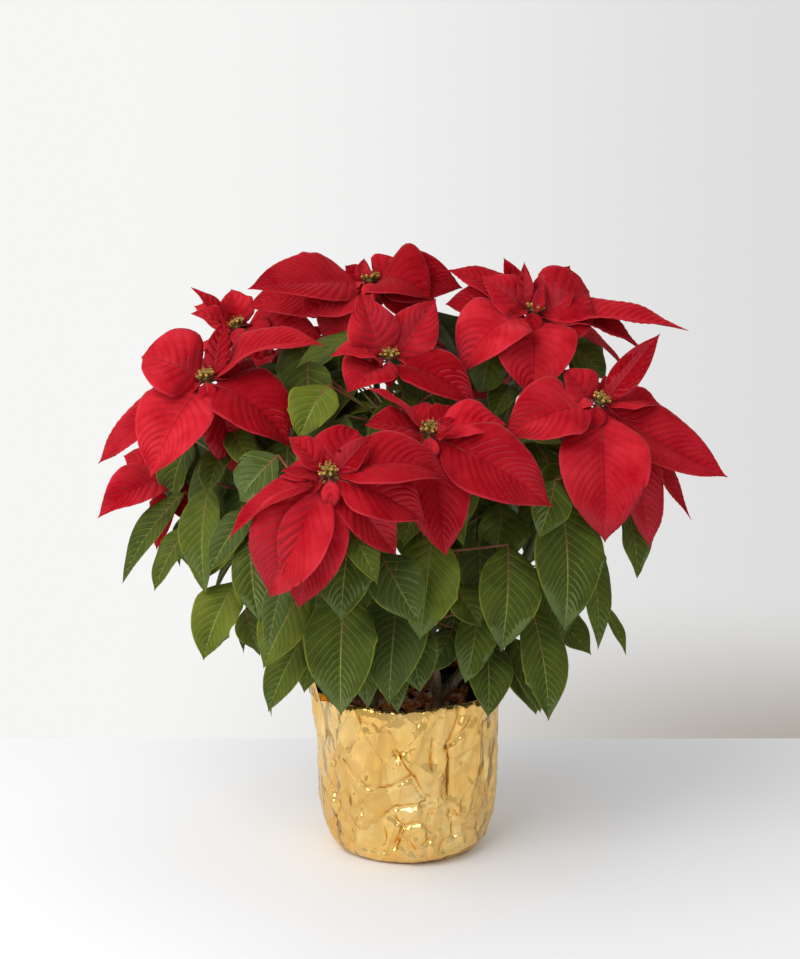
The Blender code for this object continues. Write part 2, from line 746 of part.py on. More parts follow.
def hidden_bract_specs(name):
    """Bracts round the far side of a bloom, one golden angle after another."""
    count, first, arc, length = HIDDEN_BRACTS[name]
    draw = random.Random("bracts " + name)
    axis = head_axis(name)
    centre = Vector(BLOOMS[name][1])
    away = (Vector((0, 1, 0)) - axis * axis.y).normalized()
    right = away.cross(axis)
    specs = []
    turn = math.radians(first)
    while len(specs) < count:
        degrees = math.degrees(turn) % 360
        if arc[0] <= degrees <= arc[1]:
            i = len(specs)
            out = right * math.cos(turn) + away * math.sin(turn)
            reach = length * (0.62 + 0.42 * i / count) * draw.uniform(0.92, 1.06)
            droop = math.radians(4 + 30 * i / count + draw.uniform(-5, 5))
            tip = centre - axis * 8 + out * reach * math.cos(droop) - axis * reach * math.sin(droop)
            width = reach * draw.uniform(0.50, 0.60)
            specs.append(bract_spec(name, tip, 9.5 + 21 * i / count, width, axis, 0.13))
            specs[-1]["outline"] = PLAIN_OUTLINE
        turn += GOLDEN_ANGLE
    return specs


def stem_root(name, place, base):
    """Point just off the middle of the stem, towards the blade that springs from it."""
    middle = stem_point(name, place)
    return middle + (base - middle).normalized() * ROOT_OUT


def leaf_spec(name, place, base, tip, width, face):
    width = width * LEAF_FULLNESS
    return {
        "root": stem_root(name, place, base),
        "base": base,
        "tip": tip,
        "width": width,
        "face": face,
        "arch": 0.09,
        "wave": LEAF_WAVE if width >= SMALL_WIDTH else 0.6,
        "outline": outline_for(width, LEAF_OUTLINE),
        "base_share": 0.7,
    }


def seen_leaf_specs(name):
    """The leaves of one stem that the photo shows, turned to the light in front of them.
    Each springs from the stem a little below the foot of its blade."""
    specs = []
    rows = [row for row in SEEN_LEAVES if row[0] == name]
    for i, (_, base, tip, width) in enumerate(rows):
        base = Vector(base)
        aim = base - Vector((0, 0, 24))
        places = [0.40 + 0.05 * k + 0.0043 * i for k in range(11)]
        place = min(places, key=lambda p: (stem_point(name, p) - aim).length)
        out = Vector((base.x, base.y, 0)).normalized()
        face = out * 0.45 + Vector((0, -0.6, 0.45))
        specs.append(leaf_spec(name, place, base, Vector(tip), width, face))
    return specs


def foliage_reach(height):
    """Reach of the foliage at a height, between the listed heights in straight lines."""
    low = FOLIAGE_REACH[0]
    for high in FOLIAGE_REACH[1:]:
        if height <= high[0]:
            share = (height - low[0]) / (high[0] - low[0])
            return low[1] + (high[1] - low[1]) * share
        low = high
    return low[1]


def hidden_leaf_specs(layer):
    """Leaves of one layer all round the plant, each on the stem nearest to it."""
    count, share, forward, length = LEAF_LAYERS[layer]
    draw = random.Random("layer " + str(layer))
    specs = []
    for i in range(count):
        turn = GOLDEN_ANGLE * i + layer
        out = Vector((math.cos(turn), math.sin(turn), 0))
        height = FOLIAGE_HIGH + (FOLIAGE_LOW - FOLIAGE_HIGH) * (i + 0.5) / count
        reach = foliage_reach(height) * share * draw.uniform(0.94, 1.04)
        long = length * draw.uniform(0.85, 1.1)
        droop = math.radians(draw.uniform(42, 70))
        if -out.y > forward:
            continue
        tip = out * reach + Vector((0, 0, height - long * 0.45))
        base = tip - out * long * math.cos(droop) + Vector((0, 0, long * math.sin(droop)))
        aim = base - Vector((0, 0, 24)) - out * 20
        places = [(name, 0.38 + 0.05 * k + 0.0011 * i) for name in BLOOMS for k in range(12)]
        name, place = min(places, key=lambda p: (stem_point(*p) - aim).length)
        face = out * 0.8 + Vector((0, 0, 0.6))
        spec = leaf_spec(name, place, base, tip, long * draw.uniform(0.50, 0.60), face)
        spec["outline"] = SHADE_OUTLINE
        if (spec["root"] - base).length < LONGEST_STALK:
            specs.append((name, spec))
    return specs


def surface(shapes):
    points = []
    faces = []
    for shape_points, shape_faces in shapes:
        start = len(points)
        points += shape_points
        faces += [tuple(start + i for i in face) for face in shape_faces]
    return BVHTree.FromPolygons(points, faces)


def free_part(spec, bend):
    """The blade without the foot of its stalk, because the foot has to meet its stem."""
    root = spec["root"]
    base = spec["base"] + Vector(bend) * spec["base_share"]
    foot = min(FREE_FOOT, (base - root).length * 0.8)
    freed = dict(spec, root=root + (base - root).normalized() * foot)
    return blade(freed, bend, 0.1)


class Room:
    """Everything placed so far, so that a new blade can be bent clear of it."""

    def __init__(self):
        self.shapes = {}
        self.trees = {}

    def add(self, node, shape):
        self.shapes.setdefault(node, []).append(shape)
        self.trees[node] = surface(self.shapes[node])

    def clear_of_others(self, node, spec, bend):
        tree = surface([blade(spec, bend, CLEARANCE)])
        return not any(tree.overlap(other) for key, other in self.trees.items() if key != node)

    def clear_of_own(self, node, spec, bend):
        return not surface([free_part(spec, bend)]).overlap(self.trees[node])

    def place(self, node, spec, strict=False):
        """Adds the blade with the smallest bend that keeps it clear, and says whether it fitted.
        One that can't be kept clear of its own node is fused into it, or left out if strict."""
        fallback = None
        for lift in BEND_LIFTS:
            for step in BEND_STEPS:
                bend = (0, step, lift - step * SIGHT_SLOPE)
                if not self.clear_of_others(node, spec, bend):
                    continue
                if self.clear_of_own(node, spec, bend):
                    self.add(node, blade(spec, bend))
                    return True
                if fallback is None:
                    fallback = bend
        if fallback is None or strict:
            return False
        self.add(node, blade(spec, fallback))
        return True


def bud_shapes(name):
    """Yellow centre: a short stalk with a ring of buds and one in the middle."""
    axis = head_axis(name)
    centre = Vector(BLOOMS[name][1])
    low = centre - axis * (6 - SEAT_GAP)
    side = axis.orthogonal().normalized()
    across = axis.cross(side)
    shapes = [tube([low, low + axis * 3.5], [3.6, 4.4], 6)]
    shapes.append(bud(centre + axis * 0.8, axis, BUD_LENGTH, BUD_RADIUS))
    for k in range(BUDS - 1):
        turn = 2 * math.pi * k / (BUDS - 1)
        out = side * math.cos(turn) + across * math.sin(turn)
        middle = centre - axis * 0.4 + out * BUD_RING
        shapes.append(bud(middle, axis + out * 0.3, BUD_LENGTH, BUD_RADIUS))
    return shapes


def head_core(name):
    """Short green stalk that the bracts grow from."""
    axis = head_axis(name)
    centre = Vector(BLOOMS[name][1])
    return tube([centre - axis * (HEAD_LENGTH + 4), centre - axis * 6], [NECK_RADIUS, 3.4], 6)


def leafy_stem(name):
    axis = head_axis(name)
    run, radii = stem_run(name, WOODY_SHARE, 1.0, 5)
    start = (run[1] - run[0]).normalized()
    run[0] = run[0] + start * SEAT_GAP
    run.append(Vector(BLOOMS[name][1]) - axis * (HEAD_LENGTH + 4 + SEAT_GAP))
    radii.append(NECK_RADIUS)
    return tube(run, radii, 6)


def fill_room():
    """Places stems and heads first, then what the photo shows, then what it hides."""
    room = Room()
    for key in TRUNKS:
        for shape in trunk_shapes(key):
            room.add("woody_stem_" + key, shape)
    for name in BLOOMS:
        room.add("leafy_stem_" + name, leafy_stem(name))
        room.add("bracts_" + name, head_core(name))
        for shape in bud_shapes(name):
            room.add("flower_buds_" + name, shape)
    for name in BLOOMS:
        for spec in seen_bract_specs(name):
            if not room.place("bracts_" + name, spec):
                print("seen bract left out on", name, [round(v) for v in spec["tip"]])
    for name in BLOOMS:
        for spec in seen_leaf_specs(name):
            if not room.place("leafy_stem_" + name, spec):
                print("seen leaf left out on", name, [round(v) for v in spec["tip"]])
    for name in BLOOMS:
        for spec in hidden_bract_specs(name):
            room.place("bracts_" + name, spec, strict=True)
    for layer in range(len(LEAF_LAYERS)):
        for name, spec in hidden_leaf_specs(layer):
            room.place("leafy_stem_" + name, spec, strict=True)
    return room


def build():
    clear_scene()
    gold = material("gold_foil", (0.78, 0.52, 0.16), 0.22, 1.0)
    plastic = material("pot_plastic", (0.05, 0.16, 0.07), 0.45)
    earth = material("bark_soil", (0.09, 0.045, 0.02), 0.95)
    wood = material("woody_bark", (0.16, 0.13, 0.07), 0.8)
    green = material("green_leaf", (0.05, 0.12, 0.025), 0.45)
    red = material("red_bract", (0.50, 0.006, 0.012), 0.5)
    yellow = material("yellow_bud", (0.62, 0.42, 0.04), 0.5)
    make_foil(gold)
    make_pot(plastic)
    make_soil(earth)
    room = fill_room()
    paints = {"woody": wood, "leafy": green, "bracts": red, "flower": yellow}
    for node, shapes in room.shapes.items():
        add_joined(node, shapes, paints[node.split("_")[0]])


build()
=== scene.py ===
import math
import random

import bmesh
import bpy
from mathutils import Matrix, Vector, noise
from mathutils.kdtree import KDTree


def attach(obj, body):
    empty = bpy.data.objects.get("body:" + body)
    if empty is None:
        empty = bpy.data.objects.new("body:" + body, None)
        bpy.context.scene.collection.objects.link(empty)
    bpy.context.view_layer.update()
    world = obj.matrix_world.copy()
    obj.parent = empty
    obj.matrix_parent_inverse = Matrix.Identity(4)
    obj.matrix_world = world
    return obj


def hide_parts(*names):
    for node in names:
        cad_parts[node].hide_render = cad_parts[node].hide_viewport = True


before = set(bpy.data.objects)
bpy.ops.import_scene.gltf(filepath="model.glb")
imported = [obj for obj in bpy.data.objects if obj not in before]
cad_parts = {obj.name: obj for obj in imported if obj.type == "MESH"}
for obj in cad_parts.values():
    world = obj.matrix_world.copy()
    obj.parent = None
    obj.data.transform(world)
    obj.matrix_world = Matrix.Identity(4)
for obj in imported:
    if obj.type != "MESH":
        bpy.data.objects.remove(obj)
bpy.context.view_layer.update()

# Foil wrap. The real one is a square of gold foil, a bright metal film on thin plastic.
# It is gathered under the pot and pressed up round it, which leaves flat facets between
# sharp creases, and its edge is folded in over the rim of the pot.
MM = 0.001
FOIL_OUTLINE = [
    (0, 63.0),
    (3, 68.5),
    (9, 72.5),
    (24, 75.0),
    (46, 77.2),
    (72, 79.2),
    (98, 80.7),
    (124, 81.7),
    (147, 82.8),
]
FOIL_SHEET = 0.4
FOIL_TURNS = 330
FOIL_CORNER_ANGLE = math.radians(192)
FOIL_CORNER_RISE = 15
FOIL_CORNER_FLARE = 10
# How far round the wall the corner spreads, in radians, and how late on its way up it flares.
CORNER_SPREAD = 0.24
CORNER_POWER = 12
# The top 9 mm lean in over the lip of the pot and the edge hangs inside it: inward, up.
FOIL_LEAN = 138.5
FOIL_FOLD = [(-0.3, 2.6), (-0.7, 5.0), (-1.1, 7.2), (-1.8, 8.9), (-3.1, 9.8)]
FOIL_FOLD += [(-4.9, 9.5), (-6.3, 8.0), (-7.1, 5.0), (-7.7, 1.0), (-8.3, -3.5)]
# Middle radius of the wall, and what one degree of turn measures along it.
WALL_RADIUS = 79
DEGREE_LENGTH = 1.379
# Facets: how many, how their height counts against their width, and how steep they are.
# Small ones are steeper near the foot, where the foil is gathered most.
BROAD_FACETS = 170
BROAD_STRETCH = 0.55
BROAD_STEEPNESS = 0.0085
SMALL_FACETS = 900
SMALL_STRETCH = 0.8
SMALL_STEEPNESS = 0.007
FOOT_STEEPNESS = 0.016
# Dents and ridges never go further in or out than this.
DEEPEST_DENT = -4.5
HIGHEST_RIDGE = 3.5

# Creases on the front, as turn in degrees and height, then depth and half width. The first 18
# were read from the photo, and the last 12 are made up, to crease the foil about as densely.
FOIL_CREASES = [
    ([(263, 110), (270, 93), (280, 70), (287, 62)], -2.2, 3.4),
    ([(227, 94), (235, 83), (243, 76), (257, 75), (267, 83), (274, 87)], -1.5, 4.0),
    ([(254, 143), (251, 107), (251, 74)], 2.0, 7.0),
    ([(214, 87), (234, 114), (242, 132)], -1.6, 5.0),
    ([(308, 146), (297, 115), (298, 87), (298, 69), (303, 34), (306, 21)], -2.2, 4.5),
    ([(321, 118), (319, 76), (306, 22)], 2.4, 7.0),
    ([(337, 117), (346, 77), (338, 38)], 2.0, 6.0),
    ([(253, 45), (254, 24)], -1.8, 3.5),
    ([(280, 61), (287, 61), (285, 42), (283, 10)], -1.9, 4.0),
    ([(222, 62), (229, 45), (246, 32)], 1.8, 6.0),
    ([(288, 134), (286, 94)], -1.5, 4.0),
    ([(314, 134), (300, 116), (295, 113)], -1.8, 4.0),
    ([(286, 7), (304, 10), (328, 13)], 2.6, 4.5),
    ([(280, 61), (261, 56), (253, 45)], -1.8, 4.0),
    ([(287, 61), (299, 61), (317, 29)], 1.8, 5.0),
    ([(214, 87), (214, 58), (199, 29)], -1.6, 5.0),
    ([(241, 137), (229, 109)], -1.4, 4.0),
    ([(241, 77), (240, 54), (253, 27)], -1.7, 4.0),
    ([(232, 72), (246, 50), (240, 22), (250, 8)], -1.4, 3.0),
    ([(256, 52), (268, 40), (262, 18)], -1.6, 3.0),
    ([(268, 40), (280, 44), (290, 30), (281, 22)], -1.5, 2.8),
    ([(270, 30), (276, 12), (286, 6)], -1.6, 3.0),
    ([(292, 50), (312, 40), (322, 46)], -1.4, 3.0),
    ([(296, 22), (312, 28), (330, 24)], -1.5, 3.0),
    ([(258, 128), (266, 112), (262, 98), (270, 84)], -1.2, 4.0),
    ([(280, 132), (272, 100), (282, 84)], 1.4, 6.0),
    ([(312, 128), (306, 100), (318, 72)], -1.3, 4.0),
    ([(326, 136), (318, 118), (306, 96)], -1.3, 3.6),
    ([(206, 70), (218, 48), (212, 20)], -1.5, 4.0),
    ([(228, 30), (238, 14), (256, 12)], -1.5, 3.0),
]


def linear(sheet):
    """sRGB hex to the linear colour that a shader works in."""
    parts = [int(sheet[i : i + 2], 16) / 255 for i in (1, 3, 5)]
    return (*[p / 12.92 if p <= 0.04045 else ((p + 0.055) / 1.055) ** 2.4 for p in parts], 1.0)


def fill(made, feeds):
    """Sets sockets of a shader node to a number, a hex colour or what another node gives."""
    for name, value in feeds.items():
        if isinstance(value, bpy.types.NodeSocket):
            made.id_data.links.new(value, made.inputs[name])
        else:
            made.inputs[name].default_value = linear(value) if isinstance(value, str) else value


def add_node(tree, kind, feeds=None, gives=None, stops=(), **settings):
    """Adds one shader node and returns what it gives. Stops are a ramp's places and colours."""
    made = tree.nodes.new("ShaderNode" + kind)
    for name, value in settings.items():
        setattr(made, name, value)
    fill(made, feeds or {})
    for _ in stops[2:]:
        made.color_ramp.elements.new(1.0)
    for k, (place, sheet) in enumerate(stops):
        made.color_ramp.elements[k].position = place
        made.color_ramp.elements[k].color = linear(sheet)
    return made.outputs[gives] if gives else next(out for out in made.outputs if out.enabled)


def new_finish(name):
    """Empty material, its tree, its Principled shader and its object coordinates."""
    made = bpy.data.materials.new(name)
    made.use_nodes = True
    tree = made.node_tree
    return made, tree, tree.nodes["Principled BSDF"], add_node(tree, "TexCoord", gives="Object")


def finish_piece(name, work, finishes, body, node_names, smooth=True):
    """Makes the object of a finished piece, hangs it on its body and hides the solids it stands for."""
    for face in work.faces:
        face.smooth = smooth
    mesh = bpy.data.meshes.new(name)
    work.to_mesh(mesh)
    work.free()
    for finish in finishes:
        mesh.materials.append(finish)
    made = bpy.data.objects.new(name, mesh)
    bpy.context.scene.collection.objects.link(made)
    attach(made, body)
    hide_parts(*node_names)


def rolled_grid(work, turns, rows, place):
    """A grid rolled into a tube, with place(turn, row) in mm for each of its points."""
    made = bmesh.ops.create_grid(work, x_segments=turns, y_segments=rows - 1, size=1.0)["verts"]
    for v in made:
        v.co = place(math.pi * (v.co.x + 1), round((v.co.y + 1) / 2 * (rows - 1))) * MM
    bmesh.ops.remove_doubles(work, verts=made, dist=0.00002)


def crumple(turn, height):
    """The broad dents and ridges of the solid's foil, fainter here because finer ones follow."""
    total = 0.0
    # Each wave: how many go round the pot, how they lean and where they start.
    for count, slope, start in ((5, 0.030, 0.3), (-7, 0.045, 1.9), (3, -0.060, 4.1), (11, 0.020, 2.6)):
        place = (count * turn + slope * height + start) / (2 * math.pi)
        total += abs(4 * (place - math.floor(place)) - 2) - 1
    return total * 0.8


def facet_centres(count, stretch, draw):
    """Random places round the wall, a little past its foot and rim."""
    tree = KDTree(count)
    for i in range(count):
        turn = draw.uniform(0, 2 * math.pi)
        height = draw.uniform(-12, 165)
        tree.insert((WALL_RADIUS * math.cos(turn), WALL_RADIUS * math.sin(turn), height * stretch), i)
    tree.balance()
    return tree


def facets(turn, height, stretch, ridges, valleys, steepness):
    """Flat facets that meet in sharp creases: out at the nearest ridge, in at the nearest valley."""
    spot = Vector((WALL_RADIUS * math.cos(turn), WALL_RADIUS * math.sin(turn), height * stretch))
    return steepness * (valleys.find(spot)[2] ** 2 - ridges.find(spot)[2] ** 2)


def creases(turn, height):
    """Depth of the listed creases at a place on the wall."""
    if not math.radians(180) < turn < math.radians(360):
        return 0.0
    here = Vector((math.degrees(turn) * DEGREE_LENGTH, height))
    total = 0.0
    for line, depth, half in FOIL_CREASES:
        near = 1e9
        for (turn_a, height_a), (turn_b, height_b) in zip(line, line[1:]):
            a = Vector((turn_a * DEGREE_LENGTH, height_a))
            ab = Vector((turn_b * DEGREE_LENGTH, height_b)) - a
            share = min(1.0, max(0.0, (here - a).dot(ab) / ab.length_squared))
            near = min(near, (here - a - ab * share).length)
        total += depth * max(0.0, 1 - near / half)
    return total


foil_draw = random.Random(5)
broad_ridges = facet_centres(BROAD_FACETS, BROAD_STRETCH, foil_draw)
broad_valleys = facet_centres(BROAD_FACETS, BROAD_STRETCH, foil_draw)
small_ridges = facet_centres(SMALL_FACETS, SMALL_STRETCH, foil_draw)
small_valleys = facet_centres(SMALL_FACETS, SMALL_STRETCH, foil_draw)
# Radii of the rings under the pot and heights of the rings up the wall.
foil_base = [0, 18, 36, 50, 60]
foil_wall = [FOIL_LEAN * i / 99 for i in range(100)]


def between(stations, place):
    """Value at a place between listed stations, in straight lines."""
    for (low, a), (high, b) in zip(stations, stations[1:]):
        if place <= high:
            return a + (b - a) * (place - low) / (high - low)
    return stations[-1][1]


def foil_point(turn, row):
    """Outer face of the foil, from the middle of its base up the wall and in over the rim."""
    way = Vector((math.cos(turn), math.sin(turn), 0))
    if row < len(foil_base):
        return way * foil_base[row]
    row -= len(foil_base)
    height = foil_wall[min(row, len(foil_wall) - 1)]
    # Dents fade in over the lowest 8 mm, so that the foot stays round.
    fade = min(1.0, (height + 1) / 9)
    off = math.atan2(math.sin(turn - FOIL_CORNER_ANGLE), math.cos(turn - FOIL_CORNER_ANGLE))
    corner = math.exp(-((off / CORNER_SPREAD) ** 2))
    lift = corner * (height / FOIL_OUTLINE[-1][0]) ** CORNER_POWER
    reach = between(FOIL_OUTLINE, height) + lift * FOIL_CORNER_FLARE
    # 1 up to a third of the way up, and down to 0 at two thirds.
    low = 1 - min(1.0, max(0.0, (height - 45) / 45))
    dent = crumple(turn, height) * 0.8
    dent += facets(turn, height, BROAD_STRETCH, broad_ridges, broad_valleys, BROAD_STEEPNESS)
    steepness = SMALL_STEEPNESS + FOOT_STEEPNESS * low
    dent += facets(turn, height, SMALL_STRETCH, small_ridges, small_valleys, steepness)
    dent += creases(turn, height) * 1.3
    reach += max(DEEPEST_DENT, min(HIGHEST_RIDGE, dent)) * fade
    rise = height + lift * FOIL_CORNER_RISE
    over = row - len(foil_wall) + 1
    if over > 0:
        inward, up = FOIL_FOLD[over - 1]
        # The flaring corner is hardly folded in.
        held = 1 - 0.8 * corner
        reach += inward * held
        rise += up * held + 0.7 * math.sin(5 * turn + 1) + 0.5 * math.sin(9 * turn)
    return way * reach + Vector((0, 0, rise))


# Metallised film: the metal layer gives the gold mirror, and the plastic under it
# wrinkles finely, which blurs the reflections a little.
gold_film, tree, shader, place = new_finish("metallised_gold_film")
patches = add_node(tree, "TexNoise", {"Vector": place, "Scale": 22.0, "Detail": 3.0})
worn = {"Value": patches, "From Min": 0.35, "From Max": 0.7, "To Min": 0.14, "To Max": 0.24}
wear = add_node(tree, "MapRange", worn)
# Flat facets about 29 mm and 11 mm across: cells a metre, depth, share of the deeper gold and
# that gold. Each facet is turned its own way, so it mirrors its own part of the room, and some
# facets get a deeper gold, painted light for light bounced between folds. The creases are
# painted a deeper orange, painted light caught in a fold.
tall = add_node(tree, "Mapping", {"Vector": place, "Scale": (1.0, 1.0, 0.55), "Rotation": (0.3, 0.2, 0.0)})
apart = add_node(tree, "Mapping", {"Vector": tall, "Location": (0.31, 0.17, 0.53)})
gold = add_node(tree, "ValToRGB", {"Fac": patches}, stops=[(0.3, "#F2C870"), (0.7, "#FADE9A")])
creased = None
for cells, relief, share, painted_bounce_gold in ((34.0, 0.0052, 0.5, "#D9A24A"), (88.0, 0.0014, 0.3, "#E0A850")):
    near = add_node(tree, "TexVoronoi", {"Vector": tall, "Scale": cells})
    far = add_node(tree, "TexVoronoi", {"Vector": apart, "Scale": cells})
    near = add_node(tree, "Math", {0: near, 1: near}, operation="MULTIPLY")
    far = add_node(tree, "Math", {0: far, 1: far}, operation="MULTIPLY")
    slope = add_node(tree, "Math", {0: near, 1: far}, operation="SUBTRACT")
    bumped = {"Height": slope, "Strength": 1.0, "Distance": relief}
    if creased:
        bumped["Normal"] = creased
    creased = add_node(tree, "Bump", bumped)
    # Painted light: deeper orange lines along the cell edges stand for light caught in the creases.
    edges = add_node(tree, "TexVoronoi", {"Vector": tall, "Scale": cells}, feature="DISTANCE_TO_EDGE")
    narrow = {"Value": edges, "From Max": 0.022, "To Min": share * 0.55, "To Max": 0.0}
    line = add_node(tree, "MapRange", narrow)
    # Painted light: each facet takes a random share of the deeper gold, for light bounced between folds.
    facet = add_node(tree, "TexVoronoi", {"Vector": tall, "Scale": cells}, gives="Color")
    facet = add_node(tree, "SeparateColor", {"Color": facet})
    facet = add_node(tree, "Math", {0: facet, 1: share}, operation="MULTIPLY")
    gold = add_node(tree, "Mix", {0: facet, 6: gold, 7: painted_bounce_gold}, data_type="RGBA")
    gold = add_node(tree, "Mix", {0: line, 6: gold, 7: "#A8601C"}, data_type="RGBA")
fill(shader, {"Base Color": gold, "Metallic": 1.0, "Roughness": wear, "Normal": creased})

foil_work = bmesh.new()
rolled_grid(foil_work, FOIL_TURNS, len(foil_base) + len(foil_wall) + len(FOIL_FOLD), foil_point)
bmesh.ops.solidify(foil_work, geom=foil_work.faces[:], thickness=FOIL_SHEET * MM)
finish_piece("crumpled_foil", foil_work, [gold_film], "root", ["foil_wrap"])

# Growing pot. A thin injection-moulded polypropylene pot with drainage holes stands in the
# foil and can't be seen, so its solid stays and only gets its plastic.
# The mould leaves a satin face, faintly grained.
pot_plastic, tree, shader, place = new_finish("moulded_polypropylene")
speckle = add_node(tree, "TexNoise", {"Vector": place, "Scale": 300.0, "Detail": 2.0})
green = add_node(tree, "ValToRGB", {"Fac": speckle}, stops=[(0.35, "#1E3A24"), (0.65, "#26472D")])
grained = add_node(tree, "Bump", {"Height": speckle, "Strength": 0.2, "Distance": 0.0002})
fill(shader, {"Base Color": green, "Roughness": 0.42, "Normal": grained})
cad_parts["grow_pot"].material_slots[0].material = pot_plastic

# Soil. Damp peat mixed with chunks of composted pine bark fills the pot and is mounded
# a little round the stems. The chunks lie loose on top and catch the light on wet faces.
SOIL_TOP = 120
SOIL_LOW = 3.0
SOIL_REACH = 70.0
SOIL_FOOT = 54.5
SOIL_MOUND = 9
BARK_CHUNKS = 260
BARK_REACH = 67
# Radius and height of each ring, up the side and in over the top.
soil_rings = [(0, SOIL_LOW), (SOIL_FOOT, SOIL_LOW), (SOIL_REACH, SOIL_TOP - 5)]
soil_rings += [(SOIL_REACH - 1.0 - 3.0 * i, SOIL_TOP) for i in range(23)] + [(0, SOIL_TOP)]


def soil_height(x, y):
    """Top of the peat in mm: mounded in the middle and lumpy."""
    away = min(1.0, math.hypot(x, y) / 66)
    lumps = noise.noise(Vector((x, y, 0)) * 0.085) * 4 + noise.noise(Vector((x, y, 7)) * 0.3) * 1.6
    return SOIL_TOP + SOIL_MOUND * (1 - away**2) + lumps


def soil_point(turn, row):
    reach, height = soil_rings[row]
    x = reach * math.cos(turn)
    y = reach * math.sin(turn)
    return Vector((x, y, soil_height(x, y) if row > 2 else height))


# Damp peat: dull and nearly black, in crumbs about 3 mm across.
damp_peat, tree, shader, place = new_finish("damp_peat")
crumbs = add_node(tree, "TexNoise", {"Vector": place, "Scale": 330.0, "Detail": 6.0, "Roughness": 0.7})
browns = [(0.35, "#1A0E08"), (0.6, "#3A2113"), (0.75, "#5E3A22")]
brown = add_node(tree, "ValToRGB", {"Fac": crumbs}, stops=browns)
rough = add_node(tree, "Bump", {"Height": crumbs, "Strength": 0.9, "Distance": 0.002})
fill(shader, {"Base Color": brown, "Roughness": 0.85, "Normal": rough})

# Pine bark: orange-brown chunks with a damp shine, mottled about every 5 mm, painted lighter
# than the bark is, as painted light on soil that lies in shade.
pine_bark, tree, shader, place = new_finish("composted_pine_bark")
layers = add_node(tree, "TexNoise", {"Vector": place, "Scale": 210.0, "Detail": 5.0, "Distortion": 1.5})
browns = [(0.3, "#6A3216"), (0.5, "#B8602A"), (0.72, "#E8A464")]
brown = add_node(tree, "ValToRGB", {"Fac": layers}, stops=browns)
rough = add_node(tree, "Bump", {"Height": layers, "Strength": 0.8, "Distance": 0.001})
fill(shader, {"Base Color": brown, "Roughness": 0.4, "Normal": rough})

soil_work = bmesh.new()
rolled_grid(soil_work, 72, len(soil_rings), soil_point)
bark_draw = random.Random(21)
for i in range(BARK_CHUNKS):
    away = BARK_REACH * math.sqrt(bark_draw.random())
    turn = bark_draw.uniform(0, 2 * math.pi)
    x = away * math.cos(turn)
    y = away * math.sin(turn)
    # Length, width and thickness of a chunk in mm.
    size = Vector((bark_draw.uniform(6, 17), bark_draw.uniform(4, 9), bark_draw.uniform(2, 5)))
    chunk = bmesh.ops.create_cube(soil_work, size=1.0)["verts"]
    edges = list({edge for v in chunk for edge in v.link_edges})
    for v in chunk:
        v.co += Vector([bark_draw.uniform(-0.22, 0.22) for _ in range(3)])
    chunk_bevel = bmesh.ops.bevel(
        soil_work, geom=edges, offset=0.12, affect="EDGES", segments=1, profile=0.5, material=-1
    )
    corners = list({v for face in chunk_bevel["faces"] for v in face.verts})
    tilt = Matrix.Rotation(bark_draw.uniform(0, 6.3), 3, "Z")
    tilt = tilt @ Matrix.Rotation(bark_draw.uniform(-0.6, 0.6), 3, "X")
    tilt = tilt @ Matrix.Rotation(bark_draw.uniform(-0.5, 0.5), 3, "Y")
    middle = Vector((x, y, soil_height(x, y) + size.z * 0.35))
    for v in corners:
        v.co = (middle + tilt @ Vector((v.co.x * size.x, v.co.y * size.y, v.co.z * size.z))) * MM
    for face in {face for v in corners for face in v.link_faces}:
        face.material_index = 1
soil_finishes = [damp_peat, pine_bark]
finish_piece("peat_and_bark", soil_work, soil_finishes, "root", ["soil"], smooth=False)

# Woody stems. Three rooted cuttings stand in the pot. Each has turned woody and brown at the
# foot, with raised leaf scars, and forks low down into the branches that carry the blooms.
HOLE_DEPTH = 52
TRUNKS = {
    "a": ((-30, -12), 150),
    "b": ((28, -22), 150),
    "c": ((2, 34), 158),
}
SEAT_GAP = 0.3
TRUNK_RADIUS = 5.8
TRUNK_TAPER = 1.6
TRUNK_STEPS = 24
BRANCH_RADIUS = 4.0
NECK_RADIUS = 2.7
WOODY_SHARE = 0.34
HEAD_LENGTH = 34
HEAD_ROOM = 4
# Blooms: trunk, middle of the yellow centre, and the way the head leans.
BLOOMS = {
    "left": ("a", (-170, -50, 438), (-0.30, -0.25, 1.0)),
    "upper_left": ("a", (-150, 50, 463), (-0.35, 0.10, 1.0)),
    "top": ("c", (-32, 40, 506), (-0.05, 0.00, 1.0)),
    "centre": ("b", (-15, -60, 458), (0.00, -0.35, 1.0)),
    "middle": ("b", (18, -130, 411), (0.05, -0.50, 1.0)),
    "front": ("a", (-63, -185, 389), (-0.15, -0.55, 1.0)),
    "upper_right": ("c", (109, -10, 489), (0.20, -0.10, 1.0)),
    "right": ("b", (162, -70, 422), (0.40, -0.30, 1.0)),
    "low_left": ("a", (-208, 30, 334), (-0.90, 0.05, 1.0)),
    "back_left": ("c", (-110, 150, 425), (-0.30, 0.45, 1.0)),
    "back": ("c", (-4, 172, 430), (0.00, 0.50, 1.0)),
    "back_right": ("c", (104, 140, 415), (0.30, 0.45, 1.0)),
    "far_right": ("b", (168, 66, 350), (0.70, 0.30, 1.0)),
}


def head_axis(name):
    """Way that the middle of a bloom looks."""
    return Vector(BLOOMS[name][2]).normalized()


def stem_point(name, place):
    """Point on the bent line from the fork of the trunk to the neck of the bloom."""
    trunk, centre, _ = BLOOMS[name]
    foot, fork = TRUNKS[trunk]
    axis = head_axis(name)
    neck = Vector(centre) - axis * (HEAD_LENGTH + 2 * HEAD_ROOM)
    start = Vector((foot[0], foot[1], fork - 12))
    reach = (neck - start).length
    rise = Vector((0.35 * (neck.x - start.x), 0.35 * (neck.y - start.y), 0.16 * reach))
    second = start + rise
    third = neck - axis * reach * 0.32
    rest = 1 - place
    point = start * rest**3 + second * 3 * rest * rest * place
    return point + third * 3 * rest * place * place + neck * place**3


